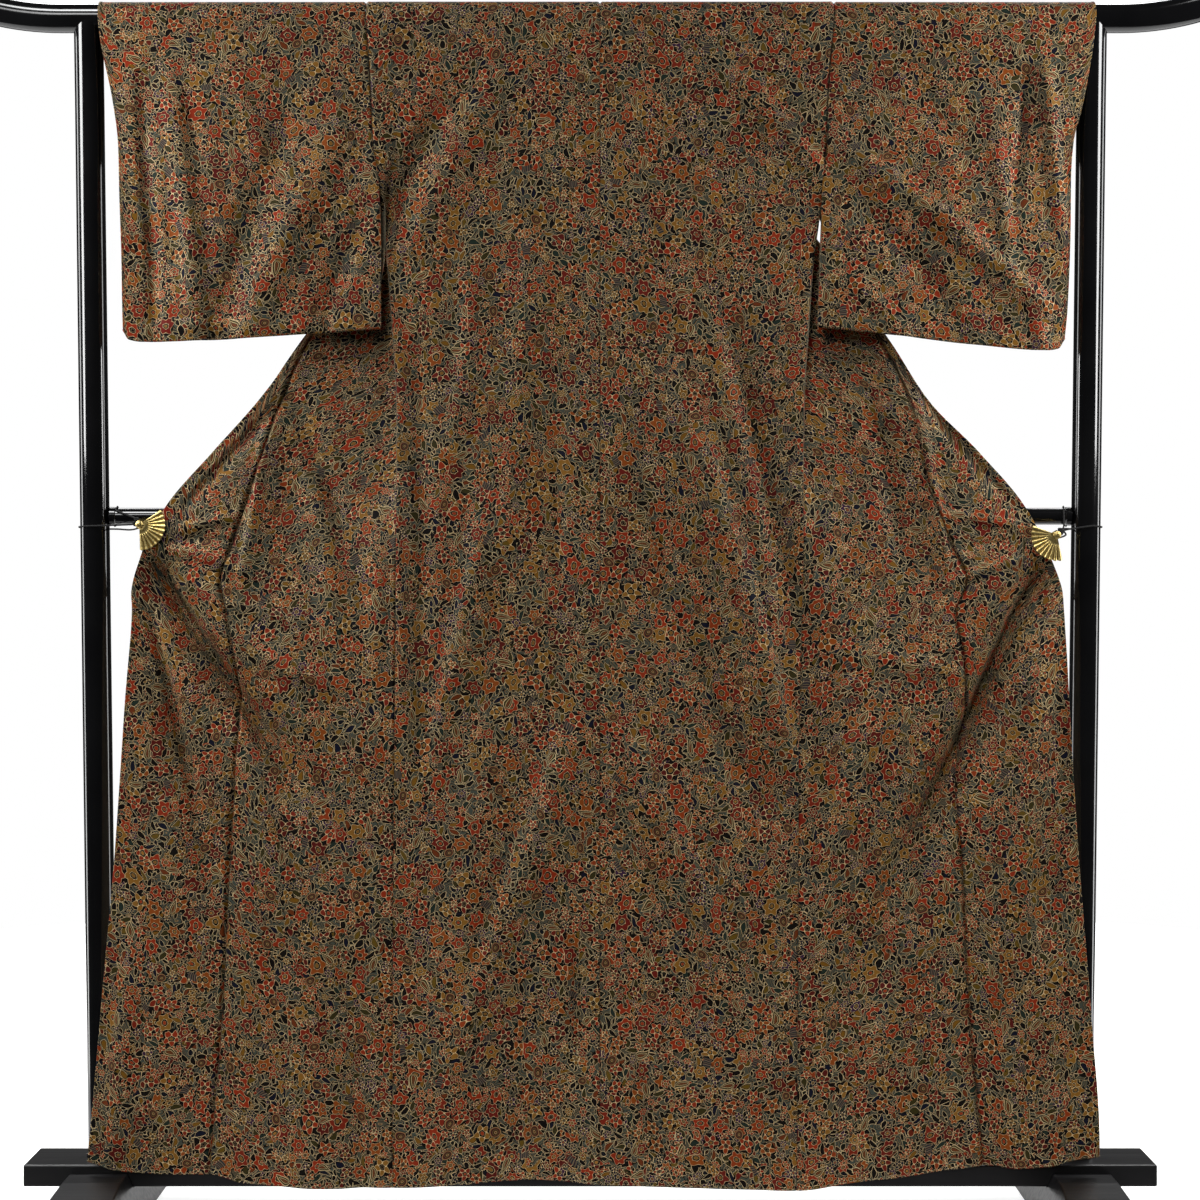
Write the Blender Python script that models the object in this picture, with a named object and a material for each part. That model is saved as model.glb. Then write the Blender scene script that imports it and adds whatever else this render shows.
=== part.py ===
"""Kimono on a display stand, seen from the garment's back (the -Y side).

The kimono hangs over the top rail with its sleeves spread along it. Both fronts are swung outward
past the side seams and held open by two fan clips tied to the posts.
Units are metres, +Z is up, and the origin is on the floor under the middle of the stand.
Tables of the garment give distances from its own centre seam, which is KIMONO_X off the stand's
middle. Left is the wearer's left, at -X.
"""
import math

import bmesh
import bpy
from mathutils import Vector

# Display stand
RAIL_Z = 1.551
RAIL_RADIUS = 0.019
RAIL_STRAIGHT = 0.69
RAIL_HALF_LENGTH = 0.90
RAIL_BEND_RADIUS = 0.375
POST_RADIUS = 0.019
POST_TOP_X = 0.654
POST_FOOT_X = 0.637
MIDDLE_RAIL_Z = 0.902
MIDDLE_RAIL_RADIUS = 0.011
BEAM_LENGTH = 1.46
BEAM_DEPTH = 0.12
BEAM_BOTTOM = 0.038
BEAM_TOP = 0.066
FOOT_X = 0.6325
FOOT_TOP_WIDTH = 0.074
FOOT_FLOOR_WIDTH = 0.12
FOOT_TOP = 0.055
PIPE_SIDES = 24
FIT_GAP = 0.0003

# Garment
KIMONO_X = 0.0125
WALL = 0.0015
SLEEVE_WALL = 0.0012
COLLAR_THICKNESS = 0.0025
COLLAR_WIDTH = 0.0575
SEAM_GAP = 0.0005
RAIL_CLEARANCE = 0.0010
EDGE_LIFT = 0.0012
WRAP_RADIUS = RAIL_RADIUS + RAIL_CLEARANCE
NECK_ANGLE = math.radians(118)
NECK_STRAIGHT = 0.030
NECK_BEND_RADIUS = 0.065
SHOULDER_DROP = 0.025
NECK_TURN = 0.79
NECK_HALF_WIDTH = 0.081
NECK_EASE = 0.53
COLLAR_END_Z = 0.797
COLLAR_REST = 0.0055
COLLAR_FLARE = 0.10
ARMHOLE_TOP = 1.38
OKUMI_TIP = 1.30
HEM_Z = 0.05
BACK_HEM_WIDTH = 0.26
OKUMI_HEM_REACH = 0.66
FOLD_END_Z = 1.531
FOLD_FADE = 0.06
SLEEVE_BOTTOM_CURVE = 0.003
FRONT_ROWS = 30
COLLAR_FRONT_ROWS = 19
COLLAR_NECK_ROWS = 8

LEFT, RIGHT = -1, 1
SIDE_NAMES = {LEFT: "left", RIGHT: "right"}

# How far the near face of the body hangs toward the viewer: height, y
HANG = (
    (0.03, -0.0700), (0.10, -0.0690), (0.30, -0.0610), (0.60, -0.0480), (0.90, -0.0355),
    (1.20, -0.0268), (1.40, -0.0230), (1.551, -0.0215),
)

# Outer edge of the body panels: height, left side, right side
BODY_EDGE = (
    (0.03, 0.2670, 0.2529), (0.40, 0.2668, 0.2555), (0.65, 0.2653, 0.2582), (0.90, 0.2637, 0.2633),
    (1.05, 0.2640, 0.2646), (1.15, 0.2700, 0.2705), (1.22, 0.2750, 0.2756), (1.29, 0.2789, 0.2848),
    (1.338, 0.2850, 0.2892), (1.386, 0.2946, 0.2938), (1.45, 0.2970, 0.2957), (1.551, 0.3040, 0.3040),
)

# Inner edge of the front panel, which is the collar seam above and the okumi seam below
FRONT_INNER = (
    (0.05, 0.5020, 0.4940), (0.27, 0.4860, 0.4760), (0.45, 0.4775, 0.4680), (0.55, 0.4720, 0.4600),
    (0.656, 0.4670, 0.4740), (0.72, 0.4730, 0.4710), (0.775, 0.4830, 0.4610), (0.818, 0.4910, 0.4760),
    (0.86, 0.4780, 0.4580), (0.94, 0.4520, 0.4290), (1.04, 0.4195, 0.4072), (1.13, 0.3795, 0.3670),
    (1.30, 0.2600, 0.2530), (1.53, 0.0850, 0.0850), (1.551, 0.0810, 0.0810),
)

# Outer edge of the okumi: the taut collar line down to the clip, then the free front edge
OKUMI_OUTER = (
    (0.05, 0.6600, 0.6370), (0.093, 0.6560, 0.6410), (0.27, 0.6410, 0.6300), (0.47, 0.6245, 0.6160),
    (0.66, 0.6125, 0.6060), (0.785, 0.6055, 0.5990), (0.80, 0.6065, 0.5985), (0.857, 0.5920, 0.5790),
    (0.915, 0.5620, 0.5500), (0.983, 0.5040, 0.4930), (1.053, 0.4430, 0.4270), (1.13, 0.3885, 0.3770),
    (1.30, 0.2650, 0.2580), (1.53, 0.0850, 0.0850), (1.551, 0.0810, 0.0810),
)

# Section of a front panel at each height, from its outer edge to its inner edge, as a curve with a
# handle at each end. Offsets lie behind the near face of the body. Pulls are the handles' reach
# outward, and swings are their reach backward. Where both pull inward, the slack cloth runs behind
# the back panel and folds round to the front edge.
# height, edge offset, edge pull, edge swing, inner swing, inner pull, inner offset
FRONT_SECTION = (
    (0.03, 0.00075, 0.075, 0.000, 0.000, -0.075, 0.00075),
    (0.60, 0.00075, 0.070, 0.000, 0.000, -0.070, 0.00075),
    (0.70, 0.0010, 0.055, 0.001, 0.001, -0.065, 0.0010),
    (0.80, 0.0026, 0.030, 0.006, 0.004, -0.060, 0.0040),
    (0.88, 0.0030, 0.010, 0.016, 0.008, -0.070, 0.0080),
    (0.95, 0.0030, -0.030, 0.024, 0.016, -0.080, 0.0120),
    (1.04, 0.0030, -0.090, 0.016, 0.022, -0.110, 0.0170),
    (1.13, 0.0030, -0.140, 0.008, 0.022, -0.145, 0.0220),
    (1.22, 0.0042, -0.160, 0.006, 0.020, -0.160, 0.0290),
    (1.30, 0.0110, -0.150, -0.002, 0.006, -0.125, 0.0380),
    (1.35, 0.0180, -0.135, -0.008, -0.014, -0.078, 0.0440),
    (1.40, 0.0240, -0.115, -0.010, -0.026, -0.025, 0.0470),
    (1.45, 0.0310, -0.090, -0.008, -0.018, 0.020, 0.0480),
    (1.50, 0.0370, -0.078, -0.003, -0.006, 0.050, 0.0460),
    (1.551, 0.04300, -0.074, 0.000, 0.000, 0.074, 0.04300),
)

# Hem height against the distance from the centre seam: distance, left side, right side
HEM = (
    (0.0, 0.0427, 0.0427), (0.086, 0.0500, 0.0400), (0.175, 0.0437, 0.0372), (0.255, 0.0386, 0.0360),
    (0.33, 0.0386, 0.0460), (0.41, 0.0411, 0.0550), (0.46, 0.0455, 0.0634), (0.50, 0.0566, 0.0680),
    (0.54, 0.0565, 0.0632), (0.59, 0.0578, 0.0670), (0.62, 0.0616, 0.0745), (0.66, 0.0720, 0.0785),
)

# Sleeve ends: height, left inner edge, right inner edge, left outer edge, right outer edge
SLEEVE_EDGES = (
    (1.12, 0.2823, 0.2805, 0.6160, 0.6000), (1.17, 0.2837, 0.2825, 0.6180, 0.6050),
    (1.25, 0.2880, 0.2855, 0.6195, 0.6083), (1.34, 0.2918, 0.2920, 0.6226, 0.6100),
    (1.386, 0.2955, 0.2947, 0.6245, 0.6135), (1.44, 0.2975, 0.2963, 0.6315, 0.6265),
    (1.52, 0.3025, 0.3020, 0.6475, 0.6400), (1.551, 0.3046, 0.3046, 0.6510, 0.6430),
)

# Bottom of the sleeve along its length, from the body outward: fraction, left height, right height
SLEEVE_BOTTOM = (
    (0.0, 1.1440, 1.1458), (0.30, 1.1365, 1.1360), (0.65, 1.1290, 1.1225), (0.93, 1.1262, 1.1150),
    (0.98, 1.1290, 1.1175), (1.0, 1.1400, 1.1290),
)

# Walls of the sleeve: height, near wall at the body, far wall at the body, near wall at the cuff,
# far wall at the cuff. Under the cuff opening the two walls meet.
SLEEVE_WALLS = (
    (1.11, -0.0375, -0.0325, -0.0355, -0.0325), (1.22, -0.0330, -0.0225, -0.0320, -0.0290),
    (1.30, -0.0290, -0.0125, -0.0290, -0.0260), (1.345, -0.0262, -0.0060, -0.0250, -0.0215),
    (1.386, -0.0236, 0.0003, -0.0217, 0.0110), (1.41, -0.0228, 0.0025, -0.0208, 0.0208),
    (1.50, -0.0212, 0.0156, -0.0207, 0.0207), (1.551, -0.0206, 0.0206, -0.0206, 0.0206),
)

# Main folds of the hanging cloth: start x, start z, end x, end z, half width, rise toward the viewer
FOLDS = (
    (-0.265, 1.285, -0.170, 1.430, 0.026, 0.0070),
    (-0.170, 1.430, -0.085, 1.515, 0.030, 0.0040),
    (-0.278, 1.335, -0.262, 1.225, 0.022, -0.0060),
    (0.180, 1.510, 0.275, 1.375, 0.028, 0.0050),
    (0.262, 1.330, 0.235, 1.180, 0.026, -0.0040),
    (-0.575, 0.860, -0.518, 0.752, 0.022, -0.0110),
    (-0.518, 0.752, -0.430, 0.620, 0.030, -0.0100),
    (-0.430, 0.620, -0.300, 0.480, 0.045, -0.0050),
    (-0.545, 0.850, -0.470, 0.720, 0.026, 0.0060),
    (0.562, 0.850, 0.512, 0.735, 0.022, -0.0110),
    (0.512, 0.735, 0.470, 0.600, 0.030, -0.0090),
    (0.535, 0.850, 0.470, 0.730, 0.026, 0.0060),
    (0.475, 0.690, 0.330, 0.450, 0.060, 0.0070),
    (0.220, 0.780, 0.110, 0.640, 0.055, 0.0050),
    (-0.160, 0.640, -0.190, 0.080, 0.055, 0.0060),
    (-0.075, 0.420, -0.075, 0.030, 0.040, -0.0060),
    (0.060, 0.380, 0.020, 0.030, 0.045, 0.0050),
    (0.180, 0.330, 0.230, 0.030, 0.055, 0.0050),
    (-0.380, 0.420, -0.370, 0.030, 0.060, 0.0060),
    (0.400, 0.350, 0.420, 0.030, 0.060, -0.0050),
    (-0.575, 0.480, -0.600, 0.060, 0.040, 0.0050),
    (0.560, 0.520, 0.590, 0.070, 0.040, 0.0050),
)

# Folds of the sleeves, which hang free of the body
SLEEVE_FOLDS = (
    (-0.545, 1.530, -0.560, 1.280, 0.030, -0.0045),
    (-0.590, 1.370, -0.588, 1.180, 0.022, -0.0025),
    (-0.460, 1.500, -0.430, 1.200, 0.040, 0.0040),
    (0.525, 1.460, 0.518, 1.300, 0.030, 0.0045),
    (0.588, 1.400, 0.585, 1.180, 0.022, -0.0025),
    (0.420, 1.500, 0.400, 1.200, 0.040, 0.0035),
)

# Fan clips on the front edges: pivot x, pivot z, direction of the fan's middle in degrees
CLIP_PIVOT = {LEFT: (-0.5960, 0.8908, -27.0), RIGHT: (0.5912, 0.8772, -140.0)}
FAN_RADIUS = 0.0338
FAN_ROOT = 0.0045
FAN_OPENING = 124.0
FAN_RIBS = 11
FAN_PLATE = 0.0016
FAN_PLEAT = 0.0012
KNOB_RADIUS = 0.0052
PIN_RADIUS = 0.0026
JAW_LENGTH = 0.034
JAW_WIDTH = 0.015
JAW_PLATE = 0.0016
CLIP_GAP = 0.0004
COLLAR_AT_CLIP = 0.0060
CORD_RADIUS = 0.0012
CORD_SIDES = 6

# Colours as linear RGB, then metallic and roughness
FINISHES = {
    "printed_silk": ((0.095, 0.075, 0.045), 0.0, 0.62),
    "black_enamel": ((0.006, 0.006, 0.007), 0.0, 0.12),
    "black_lacquer": ((0.010, 0.010, 0.011), 0.0, 0.20),
    "brass": ((0.64, 0.43, 0.13), 1.0, 0.28),
    "black_braid": ((0.012, 0.012, 0.012), 0.0, 0.75),
}


def clear_scene():
    for item in list(bpy.data.objects):
        bpy.data.objects.remove(item, do_unlink=True)


def material(name):
    found = bpy.data.materials.get(name)
    if found:
        return found
    colour, metallic, roughness = FINISHES[name]
    made = bpy.data.materials.new(name)
    made.use_nodes = True
    shader = made.node_tree.nodes["Principled BSDF"]
    shader.inputs["Base Color"].default_value = (*colour, 1.0)
    shader.inputs["Metallic"].default_value = metallic
    shader.inputs["Roughness"].default_value = roughness
    return made


def curve_value(table, at, column=1):
    """Smooth value of a table's column, with no overshoot between its rows."""
    rows = sorted(table)
    places = [row[0] for row in rows]
    values = [row[column] for row in rows]
    if at <= places[0]:
        return values[0]
    if at >= places[-1]:
        return values[-1]
    k = next(i for i in range(len(places) - 1) if at <= places[i + 1])

    def slope(i):
        return (values[i + 1] - values[i]) / (places[i + 1] - places[i])

    def tangent(i):
        if i == 0 or i == len(places) - 1:
            return slope(min(i, len(places) - 2))
        before, after = slope(i - 1), slope(i)
        if before * after <= 0:
            return 0.0
        return 2 * before * after / (before + after)

    step = places[k + 1] - places[k]
    t = (at - places[k]) / step
    return ((2 * t ** 3 - 3 * t ** 2 + 1) * values[k] + (t ** 3 - 2 * t ** 2 + t) * step * tangent(k)
            + (3 * t ** 2 - 2 * t ** 3) * values[k + 1] + (t ** 3 - t ** 2) * step * tangent(k + 1))


def side_value(table, at, side, column=1):
    """Value for the left or the right side, whose columns stand side by side."""
    return curve_value(table, at, column + (side == RIGHT))


def relief(folds, x, z):
    """Rise of the soft folds toward the viewer."""
    total = 0.0
    for x0, z0, x1, z1, half_width, rise in folds:
        along = Vector((x1 - x0, z1 - z0))
        length = along.length
        along /= length
        to_point = Vector((x - x0, z - z0))
        s = to_point.dot(along) / length
        across = abs(to_point.x * along.y - to_point.y * along.x) / half_width
        past_end = max(0.0, -s, s - 1) * length / half_width
        reach = math.hypot(across, past_end)
        if reach < 2:
            total += rise * 0.5 * (1 + math.cos(math.pi * reach / 2))
    return total


def ground(x, z):
    """Y of the near face of the body's cloth. The folds fade out at the rail and in the clips."""
    fade = min(1.0, max(0.0, (FOLD_END_Z - z) / FOLD_FADE))
    for clip_x, clip_z, _ in CLIP_PIVOT.values():
        from_clip = math.hypot(x - clip_x, z - clip_z)
        fade *= min(1.0, max(0.0, (from_clip - FAN_RADIUS) / FAN_RADIUS))
    return curve_value(HANG, z) - fade * relief(FOLDS, x, z)


def over_rail(x, angle, lift):
    """A point round the rail: angle 0 is its near side, a quarter turn its top."""
    reach = WRAP_RADIUS + lift
    return Vector((x, -reach * math.cos(angle), RAIL_Z + reach * math.sin(angle)))


def finish(name, mesh_bm, finish_name, smooth_angle=40):
    bmesh.ops.recalc_face_normals(mesh_bm, faces=mesh_bm.faces)
    mesh = bpy.data.meshes.new(name)
    mesh_bm.to_mesh(mesh)
    mesh_bm.free()
    mesh.shade_smooth()
    mesh.set_sharp_from_angle(angle=math.radians(smooth_angle))
    mesh.materials.append(material(finish_name))
    made = bpy.data.objects.new(name, mesh)
    bpy.context.scene.collection.objects.link(made)
    return made


def wall_object(name, outer, inner, finish_name, ring=False):
    """A closed wall between two grids of points. A ring joins each row's end to its start."""
    bm = bmesh.new()
    faces_of = []
    for grid in (outer, inner):
        faces_of.append([[bm.verts.new(point) for point in row] for row in grid])
    rows, columns = len(outer), len(outer[0])
    steps = columns if ring else columns - 1
    for grid in faces_of:
        for i in range(rows - 1):
            for j in range(steps):
                k = (j + 1) % columns
                bm.faces.new((grid[i][j], grid[i][k], grid[i + 1][k], grid[i + 1][j]))
    out, inn = faces_of
    for i in (0, rows - 1):
        for j in range(steps):
            k = (j + 1) % columns
            bm.faces.new((out[i][j], out[i][k], inn[i][k], inn[i][j]))
    if not ring:
        for j in (0, columns - 1):
            for i in range(rows - 1):
                bm.faces.new((out[i][j], out[i + 1][j], inn[i + 1][j], inn[i][j]))
    return finish(name, bm, finish_name)


def thicken(middle, thickness, ring=False):
    """Grids on both sides of a middle surface, half the thickness away along its normals."""
    rows, columns = len(middle), len(middle[0])
    outer, inner = [], []
    for i in range(rows):
        outer.append([])
        inner.append([])
        for j in range(columns):
            up = middle[min(i + 1, rows - 1)][j] - middle[max(i - 1, 0)][j]
            if ring:
                across = middle[i][(j + 1) % columns] - middle[i][j - 1]
            else:
                across = middle[i][min(j + 1, columns - 1)] - middle[i][max(j - 1, 0)]
            normal = across.cross(up).normalized()
            outer[i].append(middle[i][j] + normal * thickness / 2)
            inner[i].append(middle[i][j] - normal * thickness / 2)
    return outer, inner


def garment(x, y, z):
    return Vector((x + KIMONO_X, y, z))


def neck_drop(distance):
    """How far down the far side the back panel reaches at a distance from the centre seam."""
    if distance <= NECK_STRAIGHT:
        return 0.0
    reach = min((distance - NECK_STRAIGHT) / NECK_BEND_RADIUS, NECK_TURN)
    return min(NECK_BEND_RADIUS * (1 - math.sqrt(1 - reach ** 2)), SHOULDER_DROP)


def far_point(x, drop, lift):
    """A point on the far side, its drop measured along the cloth from the neck line."""
    arc = (math.pi - NECK_ANGLE) * WRAP_RADIUS
    if drop < arc:
        spot = over_rail(x, NECK_ANGLE + drop / WRAP_RADIUS, lift)
        return garment(spot.x, spot.y, spot.z)
    return garment(x, WRAP_RADIUS + lift, RAIL_Z - (drop - arc))


def back_panel(side, columns=9, hang_rows=24, wrap_rows=7, end_rows=4):
    """One back panel, from its hem up the near side and over the rail to the neck and shoulder."""
    outer, inner = [], []
    for i in range(hang_rows + 1):
        outer.append([])
        inner.append([])
        for j in range(columns + 1):
            share = j / columns
            bottom = side_value(HEM, share * BACK_HEM_WIDTH, side)
            z = bottom + (RAIL_Z - bottom) * i / hang_rows
            edge = side_value(BODY_EDGE, z, side) - SEAM_GAP / 2
            x = side * (SEAM_GAP / 2 + (edge - SEAM_GAP / 2) * share)
            y = ground(x, z)
            outer[i].append(garment(x, y, z))
            inner[i].append(garment(x, y + WALL, z))
    edge = side_value(BODY_EDGE, RAIL_Z, side) - SEAM_GAP / 2
    wrap_end = -WRAP_RADIUS / 4
    for i in range(1, wrap_rows + end_rows + 1):
        outer.append([])
        inner.append([])
        for j in range(columns + 1):
            distance = SEAM_GAP / 2 + (edge - SEAM_GAP / 2) * j / columns
            on_rail = min(1.0, i / wrap_rows)
            past_rail = max(0.0, (i - wrap_rows) / end_rows)
            along = -NECK_ANGLE * WRAP_RADIUS * (1 - on_rail) + wrap_end * on_rail
            along += (neck_drop(distance) - wrap_end) * past_rail
            lift = EDGE_LIFT * past_rail
            outer[-1].append(far_point(side * distance, along, WALL + lift))
            inner[-1].append(far_point(side * distance, along, lift))
    return wall_object("back_" + SIDE_NAMES[side], outer, inner, "printed_silk")


def front_controls(side, z):
    """Ends and handles of the front panel's section, as distance from the centre and offset."""
    edge_offset, edge_pull, edge_swing, inner_swing, inner_pull, inner_offset = (
        curve_value(FRONT_SECTION, z, column) for column in range(1, 7))
    edge_x = side_value(BODY_EDGE, z, side)
    edge_x += SEAM_GAP / 2 if z < ARMHOLE_TOP else -SEAM_GAP / 2
    inner_x = side_value(FRONT_INNER, z, side) - SEAM_GAP / 2
    return ((edge_x, edge_offset), (edge_x + edge_pull, edge_offset + edge_swing),
            (inner_x + inner_pull, inner_offset + inner_swing), (inner_x, inner_offset))


def front_section(side, z, t):
    """Distance from the centre and offset: t runs from the panel's outer to its inner edge."""
    weights = ((1 - t) ** 3, 3 * (1 - t) ** 2 * t, 3 * (1 - t) * t ** 2, t ** 3)
    controls = front_controls(side, z)
    return (sum(w * c[0] for w, c in zip(weights, controls)),
            sum(w * c[1] for w, c in zip(weights, controls)))


def front_top():
    return RAIL_Z - SHOULDER_DROP + (math.pi - NECK_ANGLE) * WRAP_RADIUS - SEAM_GAP


def seam_heights(side):
    """Heights of the rows along the inner edge of a front panel, which the okumi shares."""
    bottom = side_value(HEM, side_value(FRONT_INNER, HEM_Z, side), side)
    return [front_top() + (bottom - front_top()) * i / FRONT_ROWS for i in range(FRONT_ROWS + 1)]


def front_panel(side, columns=14):
    """One front panel, from the shoulder down the far side, round its fold and out to its hem."""
    middle = []
    for i, seam_z in enumerate(seam_heights(side)):
        middle.append([])
        for j in range(columns + 1):
            distance = front_section(side, HEM_Z, j / columns)[0]
            drop = side_value(HEM, distance, side) - seam_heights(side)[-1]
            z = seam_z + drop * i / FRONT_ROWS
            x, offset = front_section(side, z, j / columns)
            middle[i].append(garment(side * x, ground(side * x, z) + offset, z))
    outer, inner = thicken(middle, WALL)
    return wall_object("front_" + SIDE_NAMES[side], outer, inner, "printed_silk")


def taut_offset(z):
    """How far behind the body's near face the okumi and the collar seam lie."""
    return curve_value(FRONT_SECTION, z, 6)


def okumi_panel(side, columns=5):
    """One overlap panel, from its tip under the collar to its hem."""
    heights = [z for z in seam_heights(side) if z < OKUMI_TIP]
    middle = []
    for i, seam_z in enumerate(heights):
        middle.append([])
        for j in range(columns + 1):
            share = j / columns
            distance = side_value(FRONT_INNER, HEM_Z, side) * (1 - share) + OKUMI_HEM_REACH * share
            drop = side_value(HEM, distance, side) - heights[-1]
            z = seam_z + drop * i / (len(heights) - 1)
            seam = side_value(FRONT_INNER, z, side) + SEAM_GAP / 2
            free = side_value(OKUMI_OUTER, z, side)
            x = side * (seam + (free - seam) * share)
            middle[i].append(garment(x, ground(x, z) + taut_offset(z), z))
    outer, inner = thicken(middle, WALL)
    return wall_object("okumi_" + SIDE_NAMES[side], outer, inner, "printed_silk")


def sleeve(side, stations=9, wall_rows=9, rail_rows=8):
    """One sleeve bag round the rail: a ring of cloth at each station from the body to the cuff."""
    middle = []
    for i in range(stations):
        share = i / (stations - 1)
        bottom = side_value(SLEEVE_BOTTOM, share, side) + SLEEVE_BOTTOM_CURVE

        def place(z, far):
            edge_in = side_value(SLEEVE_EDGES, z, side, 1) + SEAM_GAP / 2
            edge_out = side_value(SLEEVE_EDGES, z, side, 3)
            x = side * (edge_in + (edge_out - edge_in) * share)
            at_body = curve_value(SLEEVE_WALLS, z, 2 if far else 1)
            at_cuff = curve_value(SLEEVE_WALLS, z, 4 if far else 3)
            y = at_body + (at_cuff - at_body) * share
            hang = min(1.0, max(0.0, (FOLD_END_Z - z) / FOLD_FADE))
            y -= hang * relief(SLEEVE_FOLDS, x, z)
            return x, y

        ring = []
        for k in range(wall_rows + 1):
            z = bottom + (RAIL_Z - bottom) * k / wall_rows
            x, y = place(z, False)
            ring.append(garment(x, y, z))
        for k in range(1, rail_rows):
            x = place(RAIL_Z, False)[0]
            spot = over_rail(x, math.pi * k / rail_rows, SLEEVE_WALL / 2)
            ring.append(garment(spot.x, spot.y, spot.z))
        for k in range(wall_rows + 1):
            z = RAIL_Z + (bottom - RAIL_Z) * k / wall_rows
            x, y = place(z, True)
            ring.append(garment(x, y, z))
        near, far = ring[0], ring[-1]
        half = (far.y - near.y) / 2
        for k in (1, 2):
            angle = math.pi * k / 3
            ring.append(Vector((near.x, near.y + half + half * math.cos(angle),
                                near.z - half * math.sin(angle))))
        middle.append(ring)
    outer, inner = thicken(middle, SLEEVE_WALL, ring=True)
    return wall_object("sleeve_" + SIDE_NAMES[side], outer, inner, "printed_silk", ring=True)


def layer_offset(side, distance, z):
    """Offset of the rearmost cloth at a place on the far side, for what lies on its back."""
    rearmost = taut_offset(z)
    samples = [front_section(side, z, 0.4 + 0.6 * k / 30) for k in range(31)]
    for (x0, offset0), (x1, offset1) in zip(samples, samples[1:]):
        if min(x0, x1) - 0.006 <= distance <= max(x0, x1) + 0.006:
            rearmost = max(rearmost, offset0, offset1)
    return rearmost


def collar_seam():
    """Seam line of the collar from the left end round the neck to the right end.

    Each place is a signed distance from the centre seam and a height along the cloth, which goes on
    growing where the cloth turns over the rail.
    """
    neck_height = RAIL_Z + (math.pi - NECK_ANGLE) * WRAP_RADIUS
    top = neck_height - SHOULDER_DROP
    places = {LEFT: [], RIGHT: []}
    for side in (LEFT, RIGHT):
        for k in range(COLLAR_FRONT_ROWS):
            z = COLLAR_END_Z + (top - COLLAR_END_Z) * k / COLLAR_FRONT_ROWS
            edge = OKUMI_OUTER if z < OKUMI_TIP else FRONT_INNER
            places[side].append((side * side_value(edge, z, side), z))
    neck = []
    for k in range(COLLAR_NECK_ROWS + 1):
        distance = NECK_HALF_WIDTH * (2 * k / COLLAR_NECK_ROWS - 1)
        neck.append((distance, neck_height - neck_drop(abs(distance))))
    return places[LEFT] + neck + places[RIGHT][::-1]


def neck_share(distance):
    """1 where the collar runs straight behind the neck, falling to 0 round the shoulders."""
    return min(1.0, max(0.0, (0.050 - distance) / 0.030))


def collar_lift(distance, width):
    """Height of the collar's middle over the cloth, level with the back panel at the neck seam."""
    at_seam = COLLAR_THICKNESS / 2 + EDGE_LIFT
    swing = min(1.0, width / 0.015)
    at_neck = at_seam + (COLLAR_REST - at_seam) * swing
    return COLLAR_REST + (at_neck - COLLAR_REST) * neck_share(distance)


def collar(columns=4):
    """The folded collar band, which hangs from its seam on the far side of the cloth."""
    seam = collar_seam()
    neck_height = RAIL_Z + (math.pi - NECK_ANGLE) * WRAP_RADIUS
    middle = []
    for i, (x0, h0) in enumerate(seam):
        before = seam[max(i - 1, 0)]
        after = seam[min(i + 1, len(seam) - 1)]
        along = Vector((after[0] - before[0], after[1] - before[1])).normalized()
        side = LEFT if x0 < 0 else RIGHT
        at_front = abs(x0) > NECK_HALF_WIDTH
        middle.append([])
        for j in range(columns + 1):
            width = SEAM_GAP + COLLAR_WIDTH * j / columns
            x = x0 + along.y * width
            if not at_front:
                x = x0 * (1 - NECK_EASE * width / COLLAR_WIDTH)
            height = h0 - along.x * width
            lift = collar_lift(abs(x0), width)
            if height > RAIL_Z:
                middle[i].append(far_point(x, neck_height - height, lift))
                continue
            layer = layer_offset(side, abs(x), height) if at_front else taut_offset(height)
            rest = WRAP_RADIUS + lift - (ground(x, RAIL_Z) + taut_offset(RAIL_Z))
            flare = COLLAR_FLARE * width * (1 - neck_share(abs(x0)))
            middle[i].append(garment(x, ground(x, height) + layer + rest + flare, height))
    outer, inner = thicken(middle, COLLAR_THICKNESS)
    return wall_object("collar", outer, inner, "printed_silk")


def tube(name, points, radii, sides, finish_name):
    """A round bar swept along a path, with a radius at each point and flat ends."""
    bm = bmesh.new()
    rings = []
    up = None
    for i, point in enumerate(points):
        along = (points[min(i + 1, len(points) - 1)] - points[max(i - 1, 0)]).normalized()
        if up is None:
            up = Vector((0, 1, 0)) if abs(along.y) < 0.9 else Vector((0, 0, 1))
        up = (up - along * up.dot(along)).normalized()
        right = along.cross(up)
        turns = [2 * math.pi * k / sides for k in range(sides)]
        rings.append([bm.verts.new(point + radii[i] * (math.cos(a) * up + math.sin(a) * right))
                      for a in turns])
    for ring, following in zip(rings, rings[1:]):
        for k in range(sides):
            bm.faces.new((ring[k], ring[(k + 1) % sides], following[(k + 1) % sides], following[k]))
    bm.faces.new(rings[0])
    bm.faces.new(rings[-1][::-1])
    return finish(name, bm, finish_name)


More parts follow.
